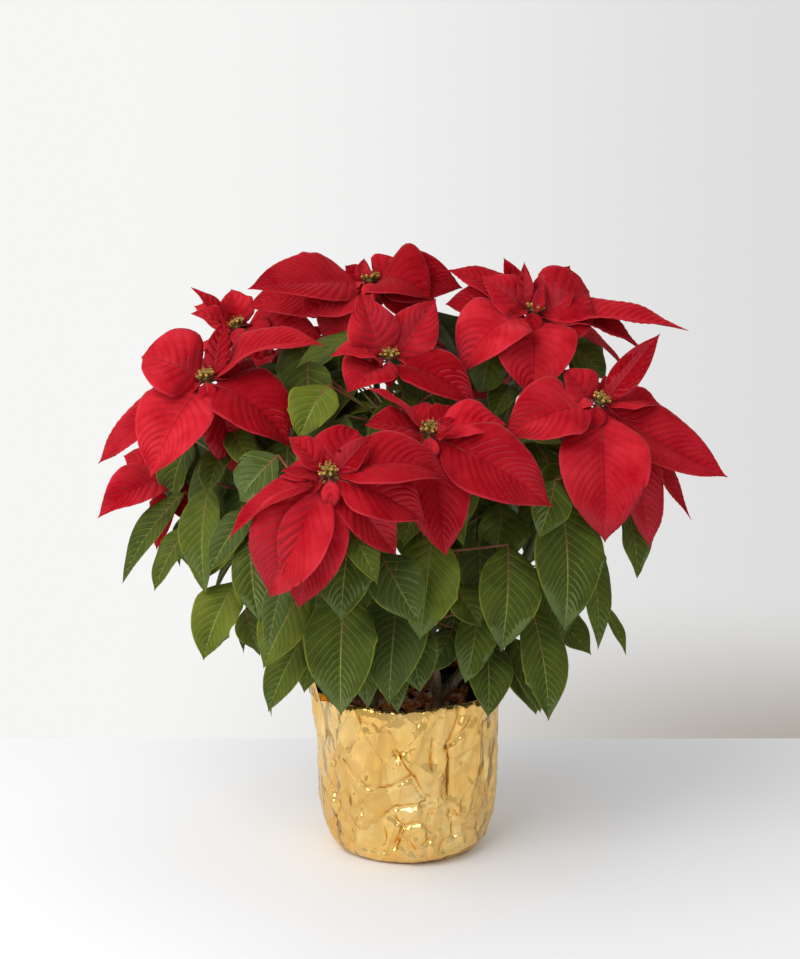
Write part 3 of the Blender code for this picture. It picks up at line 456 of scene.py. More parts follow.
def grow_stalk(work, points, radii, sides, paint, knobs=0.0):
    """Round stalk through the points, closed at both ends, with swellings if it has knobs."""
    old = set(work.verts)
    ways = []
    side = Vector((1, 0.01, 0))
    for i in range(len(points)):
        along = (points[min(i + 1, len(points) - 1)] - points[max(i - 1, 0)]).normalized()
        side = (side - along * side.dot(along)).normalized()
        ways.append((side.copy(), along.cross(side)))

    def place(turn, row):
        side, across = ways[row]
        out = side * math.cos(turn) + across * math.sin(turn)
        swell = 1 + knobs * noise.noise(points[row] * 0.16 + out * 1.3)
        return points[row] + out * radii[row] * swell

    rolled_grid(work, sides, len(points), place)
    made = [v for v in work.verts if v not in old]
    ends = [edge for edge in {edge for v in made for edge in v.link_edges} if edge.is_boundary]
    bmesh.ops.holes_fill(work, edges=ends, sides=0)
    for face in {face for v in made for face in v.link_faces}:
        face.material_index = paint


def stem_run(name, start, end, steps):
    """Points and radii along a branch, between two shares of its length."""
    places = [start + (end - start) * i / steps for i in range(steps + 1)]
    points = [stem_point(name, place) for place in places]
    radii = [BRANCH_RADIUS + (NECK_RADIUS - BRANCH_RADIUS) * place for place in places]
    return points, radii


# Bark of the woody foot: dull and grey-brown, with long cracks 2 to 3 mm apart. The noise is
# stretched up the stem.
bark, tree, shader, place = new_finish("poinsettia_bark")
stretched = add_node(tree, "Mapping", {"Vector": place, "Scale": (1.0, 1.0, 0.25)})
cracks = add_node(tree, "TexNoise", {"Vector": stretched, "Scale": 400.0, "Detail": 5.0, "Roughness": 0.65})
greys = [(0.3, "#3B2C1C"), (0.5, "#6E5A3E"), (0.7, "#968463")]
grey_brown = add_node(tree, "ValToRGB", {"Fac": cracks}, stops=greys)
rough = add_node(tree, "Bump", {"Height": cracks, "Strength": 0.7, "Distance": 0.0008})
fill(shader, {"Base Color": grey_brown, "Roughness": 0.75, "Normal": rough})

for key, (foot, fork) in TRUNKS.items():
    wood_work = bmesh.new()
    low = SOIL_TOP - HOLE_DEPTH + SEAT_GAP
    heights = [low + (fork - low) * i / TRUNK_STEPS for i in range(TRUNK_STEPS + 1)]
    radii = [TRUNK_RADIUS - TRUNK_TAPER * (i / TRUNK_STEPS) ** 3 for i in range(TRUNK_STEPS + 1)]
    grow_stalk(wood_work, [Vector((*foot, height)) for height in heights], radii, 14, 0, 0.3)
    for name in BLOOMS:
        if BLOOMS[name][0] == key:
            points, radii = stem_run(name, 0.0, WOODY_SHARE, 18)
            grow_stalk(wood_work, points, radii, 12, 0, 0.25)
    finish_piece("barked_stem_" + key, wood_work, [bark], "root", ["woody_stem_" + key])

# Leafy stems. Each branch goes on green, with leaves on long reddish stalks. A leaf is a thin
# blade, folded a little up along its pale midrib and quilted between side veins that are
# sunk in the upper face. The lower face is paler, with the veins standing out.
# A solid's blade is bent clear of its neighbours by the first of these that does it: mm away
# from the viewer down the line of sight, which keeps its place in the picture, and mm up.
BEND_STEPS = [0, 4, -4, 8, -8, 12, -12, 16, -16, 20, -20, 25, -25, 30, -30, 36, -36]
BEND_LIFTS = [0, 5, -5]
SIGHT_SLOPE = 0.26
# A corner of the solid this near a place (in metres) is the tip that was put there.
TIP_REACH = 0.0003
GOLDEN_ANGLE = math.radians(137.5)
ROOT_OUT = 1.3
BLADE_FOLD = 0.26
BLADE_SHEET = 0.45
# Side veins are about this far apart.
VEIN_STEP = 7.2
STALK_RADIUS = 1.1
STALK_STEPS = 5
MIDRIB_STEPS = 8
MIDRIB_END = 0.86
LEAF_FULLNESS = 1.08
LEAF_ARCH = 0.09
YOUNG_LEAVES = 6
YOUNG_LEAF_WIDTH = 25

# Leaves on the side that the photo shows: stem, where the blade starts and its tip
# (right, away, up, from the middle of the base), and the width.
SEEN_LEAVES = [
    ("left", (-155, -48, 380), (-180, -62, 295), 30),
    ("left", (-170, -52, 345), (-171, -75, 252), 37),
    ("left", (-131, -88, 330), (-165, -105, 280), 27),
    ("left", (-143, -45, 385), (-122, -60, 330), 40),
    ("low_left", (-195, 0, 324), (-248, -10, 242), 26),
    ("low_left", (-188, -30, 300), (-218, -45, 245), 25),
    ("low_left", (-147, -70, 262), (-173, -90, 198), 42),
    ("low_left", (-132, -40, 232), (-127, -55, 190), 25),
    ("front", (-135, -98, 312), (-123, -120, 242), 32),
    ("front", (-101, -133, 293), (-114, -150, 227), 22),
    ("front", (-88, -108, 268), (-120, -125, 203), 40),
    ("front", (-85, -83, 226), (-118, -100, 155), 33),
    ("front", (-52, -118, 272), (-55, -138, 166), 56),
    ("front", (-36, -93, 224), (-33, -105, 160), 26),
    ("front", (-45, -150, 336), (-54, -170, 259), 47),
    ("front", (-20, -140, 307), (9, -160, 254), 42),
    ("front", (-109, -112, 386), (-139, -100, 341), 36),
    ("middle", (21, -130, 322), (10, -150, 236), 48),
    ("middle", (-2, -103, 238), (11, -120, 180), 40),
    ("middle", (-13, -86, 206), (-8, -100, 154), 22),
    ("middle", (40, -105, 268), (61, -115, 236), 28),
    ("middle", (88, -110, 306), (78, -130, 219), 50),
    ("middle", (63, -88, 246), (49, -100, 181), 32),
    ("middle", (41, -60, 216), (18, -72, 180), 26),
    ("right", (128, -110, 345), (131, -130, 236), 57),
    ("right", (152, -70, 304), (162, -90, 207), 27),
    ("right", (121, -120, 364), (108, -130, 318), 32),
    ("right", (66, -72, 214), (69, -90, 147), 37),
    ("right", (106, -83, 243), (120, -105, 149), 40),
    ("right", (93, -58, 205), (115, -72, 144), 30),
    ("right", (191, -58, 320), (195, -75, 266), 28),
    ("far_right", (119, -50, 231), (159, -70, 195), 32),
    ("far_right", (175, -20, 225), (191, -40, 185), 12),
    ("centre", (-88, -40, 450), (-77, -60, 396), 45),
    ("centre", (-69, -60, 432), (-89, -80, 388), 40),
    ("centre", (76, -40, 464), (61, -50, 422), 36),
    ("upper_right", (138, -10, 462), (172, -20, 428), 34),
    ("front", (-25, -45, 251), (-30, -55, 184), 44),
    ("middle", (61, -35, 352), (54, -50, 273), 48),
    ("right", (114, -40, 345), (106, -50, 270), 44),
    ("left", (-157, -20, 363), (-153, -30, 294), 44),
    ("right", (147, -20, 366), (152, -35, 302), 44),
    ("upper_right", (152, 30, 455), (156, 25, 395), 36),
    ("low_left", (-180, -15, 314), (-184, -25, 254), 40),
    ("left", (-125, -10, 390), (-117, -25, 317), 46),
    ("front", (-103, -30, 384), (-98, -45, 327), 44),
    ("centre", (-53, 0, 429), (-65, -15, 372), 46),
    ("centre", (-30, 10, 415), (-34, 0, 362), 46),
    ("right", (99, -20, 386), (119, -35, 324), 44),
    ("upper_right", (124, 20, 377), (104, 10, 312), 50),
    ("middle", (84, -45, 327), (73, -60, 270), 44),
    ("middle", (8, -45, 322), (9, -60, 268), 40),
    ("left", (-142, -60, 306), (-169, -80, 268), 28),
    ("low_left", (-141, -50, 231), (-128, -62, 196), 24),
    ("right", (90, -50, 200), (112, -68, 140), 40),
    ("front", (-77, -45, 204), (-89, -60, 158), 30),
    ("right", (112, -50, 270), (134, -65, 207), 38),
    ("upper_right", (69, 50, 483), (86, 40, 427), 44),
    ("top", (-93, 30, 461), (-88, 20, 404), 50),
    ("top", (-60, 40, 453), (-54, 30, 395), 48),
    ("left", (-192, 20, 367), (-206, 5, 309), 38),
    ("left", (-180, 30, 376), (-190, 15, 321), 36),
    ("middle", (63, -55, 299), (59, -70, 242), 40),
    ("middle", (43, -45, 251), (37, -58, 200), 38),
    ("front", (-77, -55, 268), (-77, -70, 214), 36),
    ("left", (-136, -35, 346), (-142, -50, 293), 36),
]

# Leaves that the photo hides hang in layers: number, share of the plant's reach,
# furthest to the viewer that a layer comes (as a share of the reach) and leaf length.
LEAF_LAYERS = [
    (60, 0.92, 0.25, 92),
    (56, 0.66, 1.00, 98),
    (40, 0.38, 1.00, 104),
]
# Height and reach of the foliage at that height.
FOLIAGE_REACH = [(140, 112), (180, 145), (240, 180), (300, 198), (350, 195), (460, 150)]
FOLIAGE_LOW = 165
FOLIAGE_HIGH = 455
LONGEST_STALK = 85

# Half width of a blade, as a share of the widest, at places from its foot to its tip.
LEAF_OUTLINE = [(0.0, 0.03), (0.05, 0.27), (0.12, 0.58), (0.22, 0.84), (0.34, 0.98), (0.44, 1.0)]
LEAF_OUTLINE += [(0.56, 0.92), (0.68, 0.75), (0.79, 0.52), (0.88, 0.30)]
LEAF_OUTLINE += [(0.94, 0.13), (0.98, 0.035), (1.0, 0.01)]


def smooth_outline(stations):
    """Half width at 201 even places, in one smooth curve through the stations."""
    shares = []
    for i in range(201):
        place = i / 200
        k = 0
        while k < len(stations) - 2 and place > stations[k + 1][0]:
            k += 1
        a, b = stations[k], stations[k + 1]
        before, after = stations[max(k - 1, 0)], stations[min(k + 2, len(stations) - 1)]
        gap = b[0] - a[0]
        start = (b[1] - before[1]) / (b[0] - before[0]) * gap
        end = (after[1] - a[1]) / (after[0] - a[0]) * gap
        u = (place - a[0]) / gap
        cubic = (2 * u**3 - 3 * u * u + 1) * a[1] + (u**3 - 2 * u * u + u) * start
        cubic += (3 * u * u - 2 * u**3) * b[1] + (u**3 - u * u) * end
        shares.append(max(0.01, cubic))
    return shares


def arc_point(start, hump, tip, place):
    """Point on the arched middle line of a blade."""
    rest = 1 - place
    return start * rest * rest + hump * 2 * rest * place + tip * place * place


def ring_way(side, across, turn):
    """Way out from an axis, at a turn from one side of it."""
    return side * math.cos(turn) + across * math.sin(turn)


def lay_blade(work, spec, bend, draw, look):
    """One thin blade on its stalk. Rows of its grid follow the side veins."""
    shares = look["shares"]
    across = work.verts.layers.float["across"]
    rib = work.verts.layers.float["rib"]
    along = work.verts.layers.float["along"]
    tone = work.verts.layers.float["tone"]
    root = spec["root"] + spec["closer"]
    foot = spec["base"] + bend * spec["base_share"] + spec["closer"] * 0.85
    tip = spec["tip"] + bend
    chord = (tip - foot).normalized()
    face = spec["face"]
    lift = (face - chord * face.dot(chord)).normalized()
    hump = (foot + tip) / 2 + lift * spec["arch"] * (tip - foot).length * 2
    start = root.lerp(foot, look["opens"])
    hump = hump + (start - foot) * 0.5
    length = (tip - start).length * 1.04
    half = spec["width"] / 2
    # Blades that the photo shows get a finer grid. Side veins sweep forward to the margin.
    veins = max(4, round(length / VEIN_STEP))
    rows = veins * (4 if spec["seen"] else 3)
    cells = 2 * max(3, min(9 if spec["seen"] else 6, round(half / 2.6)))
    sweep = min(0.36, 1.15 * half / length)
    twist = math.radians(draw.uniform(-9, 9))
    fold = BLADE_FOLD * draw.uniform(*look["fold"])
    pucker = look["pucker"] * draw.uniform(0.5, 1.35) * min(1.0, half / 16)
    wave = look["wave"] * draw.uniform(0.5, 1.3) * min(1.0, half / 14)
    waves = draw.uniform(1.4, 2.6)
    wave_start = draw.random()
    seed = draw.uniform(0, 100)
    curl = draw.uniform(*look["curl"])
    shade = draw.random()
    # Lobes are small points of the margin, on one side or the other.
    lobes = []
    if draw.random() < look["lobed"] and half > 11:
        for _ in range(draw.choice((1, 2, 2, 3))):
            lobes.append((draw.choice((-1, 1)), draw.uniform(0.34, 0.66), draw.uniform(0.05, 0.11)))

    def point_at(side_share, vein_share):
        edge = abs(side_share)
        place = min(1.0, vein_share + sweep * shares[round(vein_share * 200)] * edge**1.15)
        middle = arc_point(start, hump, tip, place)
        way = ((hump - start) * (1 - place) + (tip - hump) * place).normalized()
        up = (face - way * face.dot(way)).normalized()
        side = way.cross(up)
        turn = twist * (place - 0.4)
        side, up = side * math.cos(turn) + up * math.sin(turn), up * math.cos(turn) - side * math.sin(turn)
        wide = half * shares[round(place * 200)]
        for lobe_side, lobe_place, lobe_size in lobes:
            if lobe_side * side_share > 0:
                wide *= 1 + lobe_size * math.exp(-(((place - lobe_place) / 0.035) ** 2))
        # Folded up from the midrib, with the margin curled down, waved and uneven.
        opened = min(1.0, place * 3)
        rise = wide * fold * (1.5 * edge - 0.5 * edge * edge) * opened
        rise -= curl * wide * edge**3 * math.sin(math.pi * min(1.0, place * 1.2))
        ends = min(1.0, 7 * place) * min(1.0, 6 * (1 - place))
        hand = 1 if side_share > 0 else -1
        rise += wave * math.cos(2 * math.pi * (waves * place + wave_start)) * edge * edge * hand * ends
        rise += wave * 1.5 * noise.noise(Vector((place * 3.2, side_share * 1.6, seed))) * edge * ends
        # Puffed up between the side veins, less so at the margin.
        puff = abs(math.sin(math.pi * vein_share * veins)) ** 0.75
        cover = min(1.0, edge * 5) * (1 - 0.55 * edge**3)
        uneven = 0.8 + 0.6 * noise.noise(Vector((place * 7, side_share * 3, seed + 9)))
        rise += pucker * (puff - 0.4) * cover * uneven * ends
        return middle + side * side_share * wide + up * rise, place

    made = bmesh.ops.create_grid(work, x_segments=cells, y_segments=rows, size=1.0)["verts"]
    for v in made:
        side_share = v.co.x
        vein_share = (v.co.y + 1) / 2
        spot, place = point_at(side_share, vein_share)
        v.co = spot * MM
        v[across] = side_share
        v[rib] = vein_share * veins
        v[along] = place
        v[tone] = shade
    upper = list({f for v in made for f in v.link_faces})
    for f in upper:
        f.material_index = look["upper"]
    thick = bmesh.ops.solidify(work, geom=upper, thickness=BLADE_SHEET * MM)
    for f in thick["geom"]:
        if isinstance(f, bmesh.types.BMFace):
            f.material_index = look["lower"]
    # The stalk arches a little, and runs on under the blade as its midrib.
    points = [root.lerp(start, i / STALK_STEPS) for i in range(STALK_STEPS)]
    radii = [look["stalk"] * (1.0 - 0.15 * i / STALK_STEPS) for i in range(STALK_STEPS)]
    arched = (start - root).length * 0.06
    for i in range(1, STALK_STEPS):
        points[i] = points[i] + lift * arched * math.sin(math.pi * i / STALK_STEPS)
    for i in range(MIDRIB_STEPS + 1):
        middle = arc_point(start, hump, tip, i / MIDRIB_STEPS * MIDRIB_END)
        points.append(middle - lift * (BLADE_SHEET * 0.9))
        radii.append(look["stalk"] * (0.85 - 0.62 * i / MIDRIB_STEPS))
    old = set(work.verts)
    grow_stalk(work, points, radii, 6, look["stalk_paint"])
    for v in work.verts:
        if v not in old:
            v[tone] = shade


def blade_sheet():
    """Empty mesh with what the finishes read: place across, count of veins, place along, tone."""
    work = bmesh.new()
    for name in ("across", "rib", "along", "tone"):
        work.verts.layers.float.new(name)
    return work


def facing(turn, rise):
    """Way a face looks: turn to the right of the viewer, rise above the horizon."""
    turn = math.radians(turn)
    rise = math.radians(rise)
    flat = math.cos(rise)
    return Vector((math.sin(turn) * flat, -math.cos(turn) * flat, math.sin(rise)))


def stem_root(name, place, base):
    """Point just off the middle of the stem, towards the blade that springs from it."""
    middle = stem_point(name, place)
    return middle + (base - middle).normalized() * ROOT_OUT


def leaf_spec(name, place, base, tip, width, face, seen):
    """What lay_blade needs for a leaf whose stalk springs from this share of its stem."""
    return {
        "root": stem_root(name, place, base),
        "base": base,
        "tip": tip,
        "width": width * LEAF_FULLNESS,
        "face": face,
        "arch": LEAF_ARCH,
        "base_share": 0.7,
        "closer": Vector((0, 0, 0)),
        "seen": seen,
    }


def seen_leaf_specs(name):
    """Listed leaves of one stem, each sprung from the place that its stalk reaches best."""
    specs = []
    rows = [row for row in SEEN_LEAVES if row[0] == name]
    for i, (_, base, tip, width) in enumerate(rows):
        base = Vector(base)
        aim = base - Vector((0, 0, 24))
        places = [0.40 + 0.05 * k + 0.0043 * i for k in range(11)]
        place = min(places, key=lambda p: (stem_point(name, p) - aim).length)
        out = Vector((base.x, base.y, 0)).normalized()
        face = out * 0.45 + Vector((0, -0.6, 0.45))
        specs.append(leaf_spec(name, place, base, Vector(tip), width, face, True))
    return specs


def hidden_leaf_specs(layer):
    """Leaves of one layer all round the plant, each on the stem nearest to it."""
    count, share, forward, length = LEAF_LAYERS[layer]
    draw = random.Random("layer " + str(layer))
    specs = []
    for i in range(count):
        turn = GOLDEN_ANGLE * i + layer
        out = Vector((math.cos(turn), math.sin(turn), 0))
        height = FOLIAGE_HIGH + (FOLIAGE_LOW - FOLIAGE_HIGH) * (i + 0.5) / count
        reach = between(FOLIAGE_REACH, height) * share * draw.uniform(0.94, 1.04)
        long = length * draw.uniform(0.85, 1.1)
        droop = math.radians(draw.uniform(42, 70))
        if -out.y > forward:
            continue
        tip = out * reach + Vector((0, 0, height - long * 0.45))
        base = tip - out * long * math.cos(droop) + Vector((0, 0, long * math.sin(droop)))
        aim = base - Vector((0, 0, 24)) - out * 20
        places = [(name, 0.38 + 0.05 * k + 0.0011 * i) for name in BLOOMS for k in range(12)]
        name, place = min(places, key=lambda p: (stem_point(*p) - aim).length)
        face = out * 0.8 + Vector((0, 0, 0.6))
        spec = leaf_spec(name, place, base, tip, long * draw.uniform(0.50, 0.60), face, False)
        if (spec["root"] - base).length < LONGEST_STALK:
            specs.append((name, spec))
    return specs


def corner_tree(node):
    """Corners of a CAD node, to find where each blade's tip was put."""
    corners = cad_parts[node].data.vertices
    tree = KDTree(len(corners))
    for i, corner in enumerate(corners):
        tree.insert(corner.co, i)
    tree.balance()
    return tree


def bend_of(corners, spec):
    """How far the solid's blade was bent clear of its neighbours, or None if it has no such blade."""
    for lift in BEND_LIFTS:
        for step in BEND_STEPS:
            bend = Vector((0, step, lift - step * SIGHT_SLOPE))
            if corners.find((spec["tip"] + bend) * MM)[2] < TIP_REACH:
                return bend
    return None


def lay_blades(work, node, specs, draw, look):
    """Lays the blades that the solid of this node has, each bent as far as it is there."""
    corners = corner_tree(node)
    for spec in specs:
        bend = bend_of(corners, spec)
        if bend is not None:
            lay_blade(work, spec, bend, draw, look)


def vein_shares(tree, half_line, side_share, half_midrib, middle_share):
    """Shares of the veins' colours on a blade: side veins that fade to the margin, the midrib,
    and how near the margin a place is. Lines are in vein steps and in half widths."""
    rib = add_node(tree, "Attribute", gives="Fac", attribute_name="rib")
    across = add_node(tree, "Attribute", gives="Fac", attribute_name="across")
    away = add_node(tree, "Math", {0: rib, 1: 0.5}, operation="PINGPONG")
    edge = add_node(tree, "Math", {0: across}, operation="ABSOLUTE")
    narrow = {"Value": away, "From Max": half_line, "To Min": side_share, "To Max": 0.0}
    line = add_node(tree, "MapRange", narrow, interpolation_type="SMOOTHSTEP")
    fading = add_node(tree, "MapRange", {"Value": edge, "From Min": 0.1, "To Min": 1.0, "To Max": 0.3})
    veins = add_node(tree, "Math", {0: line, 1: fading}, operation="MULTIPLY")
    narrow = {"Value": edge, "From Max": half_midrib, "To Min": middle_share, "To Max": 0.0}
    middle = add_node(tree, "MapRange", narrow, interpolation_type="SMOOTHSTEP")
    return veins, middle, edge


def quilting(tree, edge, relief, net, net_depth):
    """Blade puffed up between its sunk side veins, with the net of veinlets sunk in it."""
    rib = add_node(tree, "Attribute", gives="Fac", attribute_name="rib")
    away = add_node(tree, "Math", {0: rib, 1: 0.5}, operation="PINGPONG")
    puffed = add_node(tree, "MapRange", {"Value": away, "From Max": 0.34}, interpolation_type="SMOOTHSTEP")
    calm = add_node(tree, "MapRange", {"Value": edge, "From Min": 0.55, "To Min": 1.0, "To Max": 0.35})
    puffed = add_node(tree, "Math", {0: puffed, 1: calm}, operation="MULTIPLY")
    swollen = add_node(tree, "Bump", {"Height": puffed, "Strength": 1.0, "Distance": relief})
    sunk = {"Height": net, "Strength": 0.7, "Distance": net_depth, "Normal": swollen}
    return add_node(tree, "Bump", sunk, invert=True)


def net_share(tree, place, mesh_mm, share):
    """Share of the fine net of veinlets, with meshes of this size."""
    meshes = {"Vector": place, "Scale": 1 / (mesh_mm * MM)}
    cells = add_node(tree, "TexVoronoi", meshes, feature="DISTANCE_TO_EDGE")
    return add_node(tree, "MapRange", {"Value": cells, "From Max": 0.16, "To Min": share, "To Max": 0.0})


def let_light_through(tree, shader, share, tint):
    """Thin tissue passes some light, coloured by its pigment."""
    glow = add_node(tree, "BsdfTranslucent", {"Color": tint})
    both = add_node(tree, "MixShader", {0: share, 1: shader.outputs["BSDF"], 2: glow})
    tree.links.new(both, tree.nodes["Material Output"].inputs["Surface"])


def mottled_finish(name, scale, detail, stops, surface):
    """Finish of one mottled colour. Scale is the count of patches a metre."""
    made, tree, shader, place = new_finish(name)
    patches = add_node(tree, "TexNoise", {"Vector": place, "Scale": scale, "Detail": detail})
    fill(shader, {"Base Color": add_node(tree, "ValToRGB", {"Fac": patches}, stops=stops), **surface})
    return made


# Upper face of a leaf: dark green with a grey haze painted on some leaves as painted sheen, pale
# yellow-green veins, and a midrib that is reddish near the stalk. Old leaves yellow at the edge.
leaf_upper, tree, shader, place = new_finish("leaf_upper_face")
veins, middle, edge = vein_shares(tree, 0.075, 0.7, 0.035, 0.8)
tone = add_node(tree, "Attribute", gives="Fac", attribute_name="tone")
along = add_node(tree, "Attribute", gives="Fac", attribute_name="along")
mottle = add_node(tree, "TexNoise", {"Vector": place, "Scale": 55.0, "Detail": 4.0})
deep = add_node(tree, "ValToRGB", {"Fac": mottle}, stops=[(0.3, "#2A360A"), (0.7, "#3F4B0F")])
light = add_node(tree, "ValToRGB", {"Fac": mottle}, stops=[(0.3, "#495616"), (0.7, "#647120")])
body = add_node(tree, "Mix", {0: tone, 6: deep, 7: light}, data_type="RGBA")
# Painted sheen: a grey haze on the leaves of lowest tone.
greyed = {"Value": tone, "From Min": 0.05, "From Max": 0.25, "To Min": 0.34, "To Max": 0.0}
painted_sheen_haze = add_node(tree, "MapRange", greyed)
aged = add_node(tree, "MapRange", {"Value": tone, "From Min": 0.85, "From Max": 1.0, "To Max": 0.5})
aged = add_node(tree, "Math", {0: aged, 1: edge}, operation="MULTIPLY")
net = net_share(tree, place, 2.4, 0.14)
reddish = [(0.0, "#8A4A2C"), (0.28, "#8E8440"), (0.5, "#A0A658")]
midrib = add_node(tree, "ValToRGB", {"Fac": along}, stops=reddish)
# The margin is thin and lets the light through, painted on as a yellow line of painted light.
margin = add_node(tree, "MapRange", {"Value": edge, "From Min": 0.94, "From Max": 0.99, "To Max": 0.45})
coats = [(painted_sheen_haze, "#5A6C3C"), (aged, "#8A8A1C"), (net, "#74822E"), (veins, "#8E9A3C")]
for share, colour in coats + [(middle, midrib), (margin, "#A2A434")]:
    body = add_node(tree, "Mix", {0: share, 6: body, 7: colour}, data_type="RGBA")
quilted = quilting(tree, edge, 0.0003, net, 0.0015)
fill(shader, {"Base Color": body, "Roughness": 0.5, "Specular IOR Level": 0.13, "Normal": quilted})
fill(shader, {"Sheen Weight": 0.03, "Sheen Roughness": 0.5, "Sheen Tint": "#DCE8C8"})
let_light_through(tree, shader, 0.12, "#6E7C0C")

# Lower face of a leaf: paler and dull, with the same veins raised.
leaf_lower, tree, shader, place = new_finish("leaf_lower_face")
veins, middle, edge = vein_shares(tree, 0.08, 0.5, 0.045, 0.9)
mottle = add_node(tree, "TexNoise", {"Vector": place, "Scale": 60.0, "Detail": 3.0})
body = add_node(tree, "ValToRGB", {"Fac": mottle}, stops=[(0.3, "#52622C"), (0.7, "#66763E")])
for share, colour in ((veins, "#98A468"), (middle, "#A4A866")):
    body = add_node(tree, "Mix", {0: share, 6: body, 7: colour}, data_type="RGBA")
raised = add_node(tree, "Bump", {"Height": veins, "Strength": 0.7, "Distance": 0.0008})
fill(shader, {"Base Color": body, "Roughness": 0.65, "Specular IOR Level": 0.25, "Normal": raised})
let_light_through(tree, shader, 0.12, "#6E7C0C")

# Skin of the green shoots and leaf stalks: smooth, flushed with red on the stalks.
greens = [(0.35, "#3E4A1C"), (0.55, "#5E5E28"), (0.75, "#6E4A2C")]
shoot_surface = {"Roughness": 0.5, "Specular IOR Level": 0.35}
shoot_skin = mottled_finish("green_shoot_skin", 40.0, 3.0, greens, shoot_surface)
reds = [(0.35, "#6E6A30"), (0.5, "#86502C"), (0.7, "#7E2E20")]
stalk_skin = mottled_finish("leaf_stalk_skin", 30.0, 2.0, reds, {"Roughness": 0.45})

# How leaves are laid: how far up its stalk a blade opens, ranges of fold and curl, heights of
# pucker and wave in mm, share of lobed blades, radius of the stalk and finishes by number.
LEAF_LOOK = {
    "shares": smooth_outline(LEAF_OUTLINE),
    "opens": 0.94,
    "fold": (0.8, 1.5),
    "pucker": 0.5,
    "wave": 1.5,
    "curl": (-0.02, 0.14),
    "lobed": 0.45,
    "stalk": STALK_RADIUS,
    "upper": 0,
    "lower": 1,
    "stalk_paint": 2,
}
leaf_rows = [(name, spec) for name in BLOOMS for spec in seen_leaf_specs(name)]
for layer in range(len(LEAF_LAYERS)):
    leaf_rows += hidden_leaf_specs(layer)
shoot_finishes = [leaf_upper, leaf_lower, stalk_skin, shoot_skin]
for name in BLOOMS:
    node = "leafy_stem_" + name
    draw = random.Random("leaves " + name)
    work = blade_sheet()
    lay_blades(work, node, [spec for stem, spec in leaf_rows if stem == name], draw, LEAF_LOOK)
    # Young leaves close under the bracts, a guess that the solids don't have.
    axis = head_axis(name)
    side = axis.orthogonal().normalized()
    for k in range(YOUNG_LEAVES):
        out = ring_way(side, axis.cross(side), GOLDEN_ANGLE * k + 1.1)
        base = stem_point(name, 0.88 + 0.02 * k) + out * 13 + axis * 4
        tip = base + out * (34 + 3 * k) - axis * 8 - Vector((0, 0, 12 + 2 * k))
        face = out * 0.5 + axis
        young = leaf_spec(name, 0.86 + 0.02 * k, base, tip, YOUNG_LEAF_WIDTH, face, False)
        lay_blade(work, young, Vector(), draw, LEAF_LOOK)
    points, radii = stem_run(name, WOODY_SHARE, 1.0, 30)
    points.append(Vector(BLOOMS[name][1]) - axis * (HEAD_LENGTH + HEAD_ROOM + SEAT_GAP))
    radii.append(NECK_RADIUS)
    grow_stalk(work, points, radii, 12, 3, 0.12)
    finish_piece("green_shoot_" + name, work, shoot_finishes, "root", [node])

# Red bracts. Under each flower head, coloured leaves stand on short stalks round the green
# stalk of the head. They are thin, velvety and crimson, folded up along the midrib, arched,
# and puckered between the veins, and light shines through them.
BRACT_FOOT = 12
BRACT_FULLNESS = 1.08
YOUNG_BRACTS = 7
# Bracts start at depths along this much of the head, from its top to its foot.
BRACT_SPAN = 21
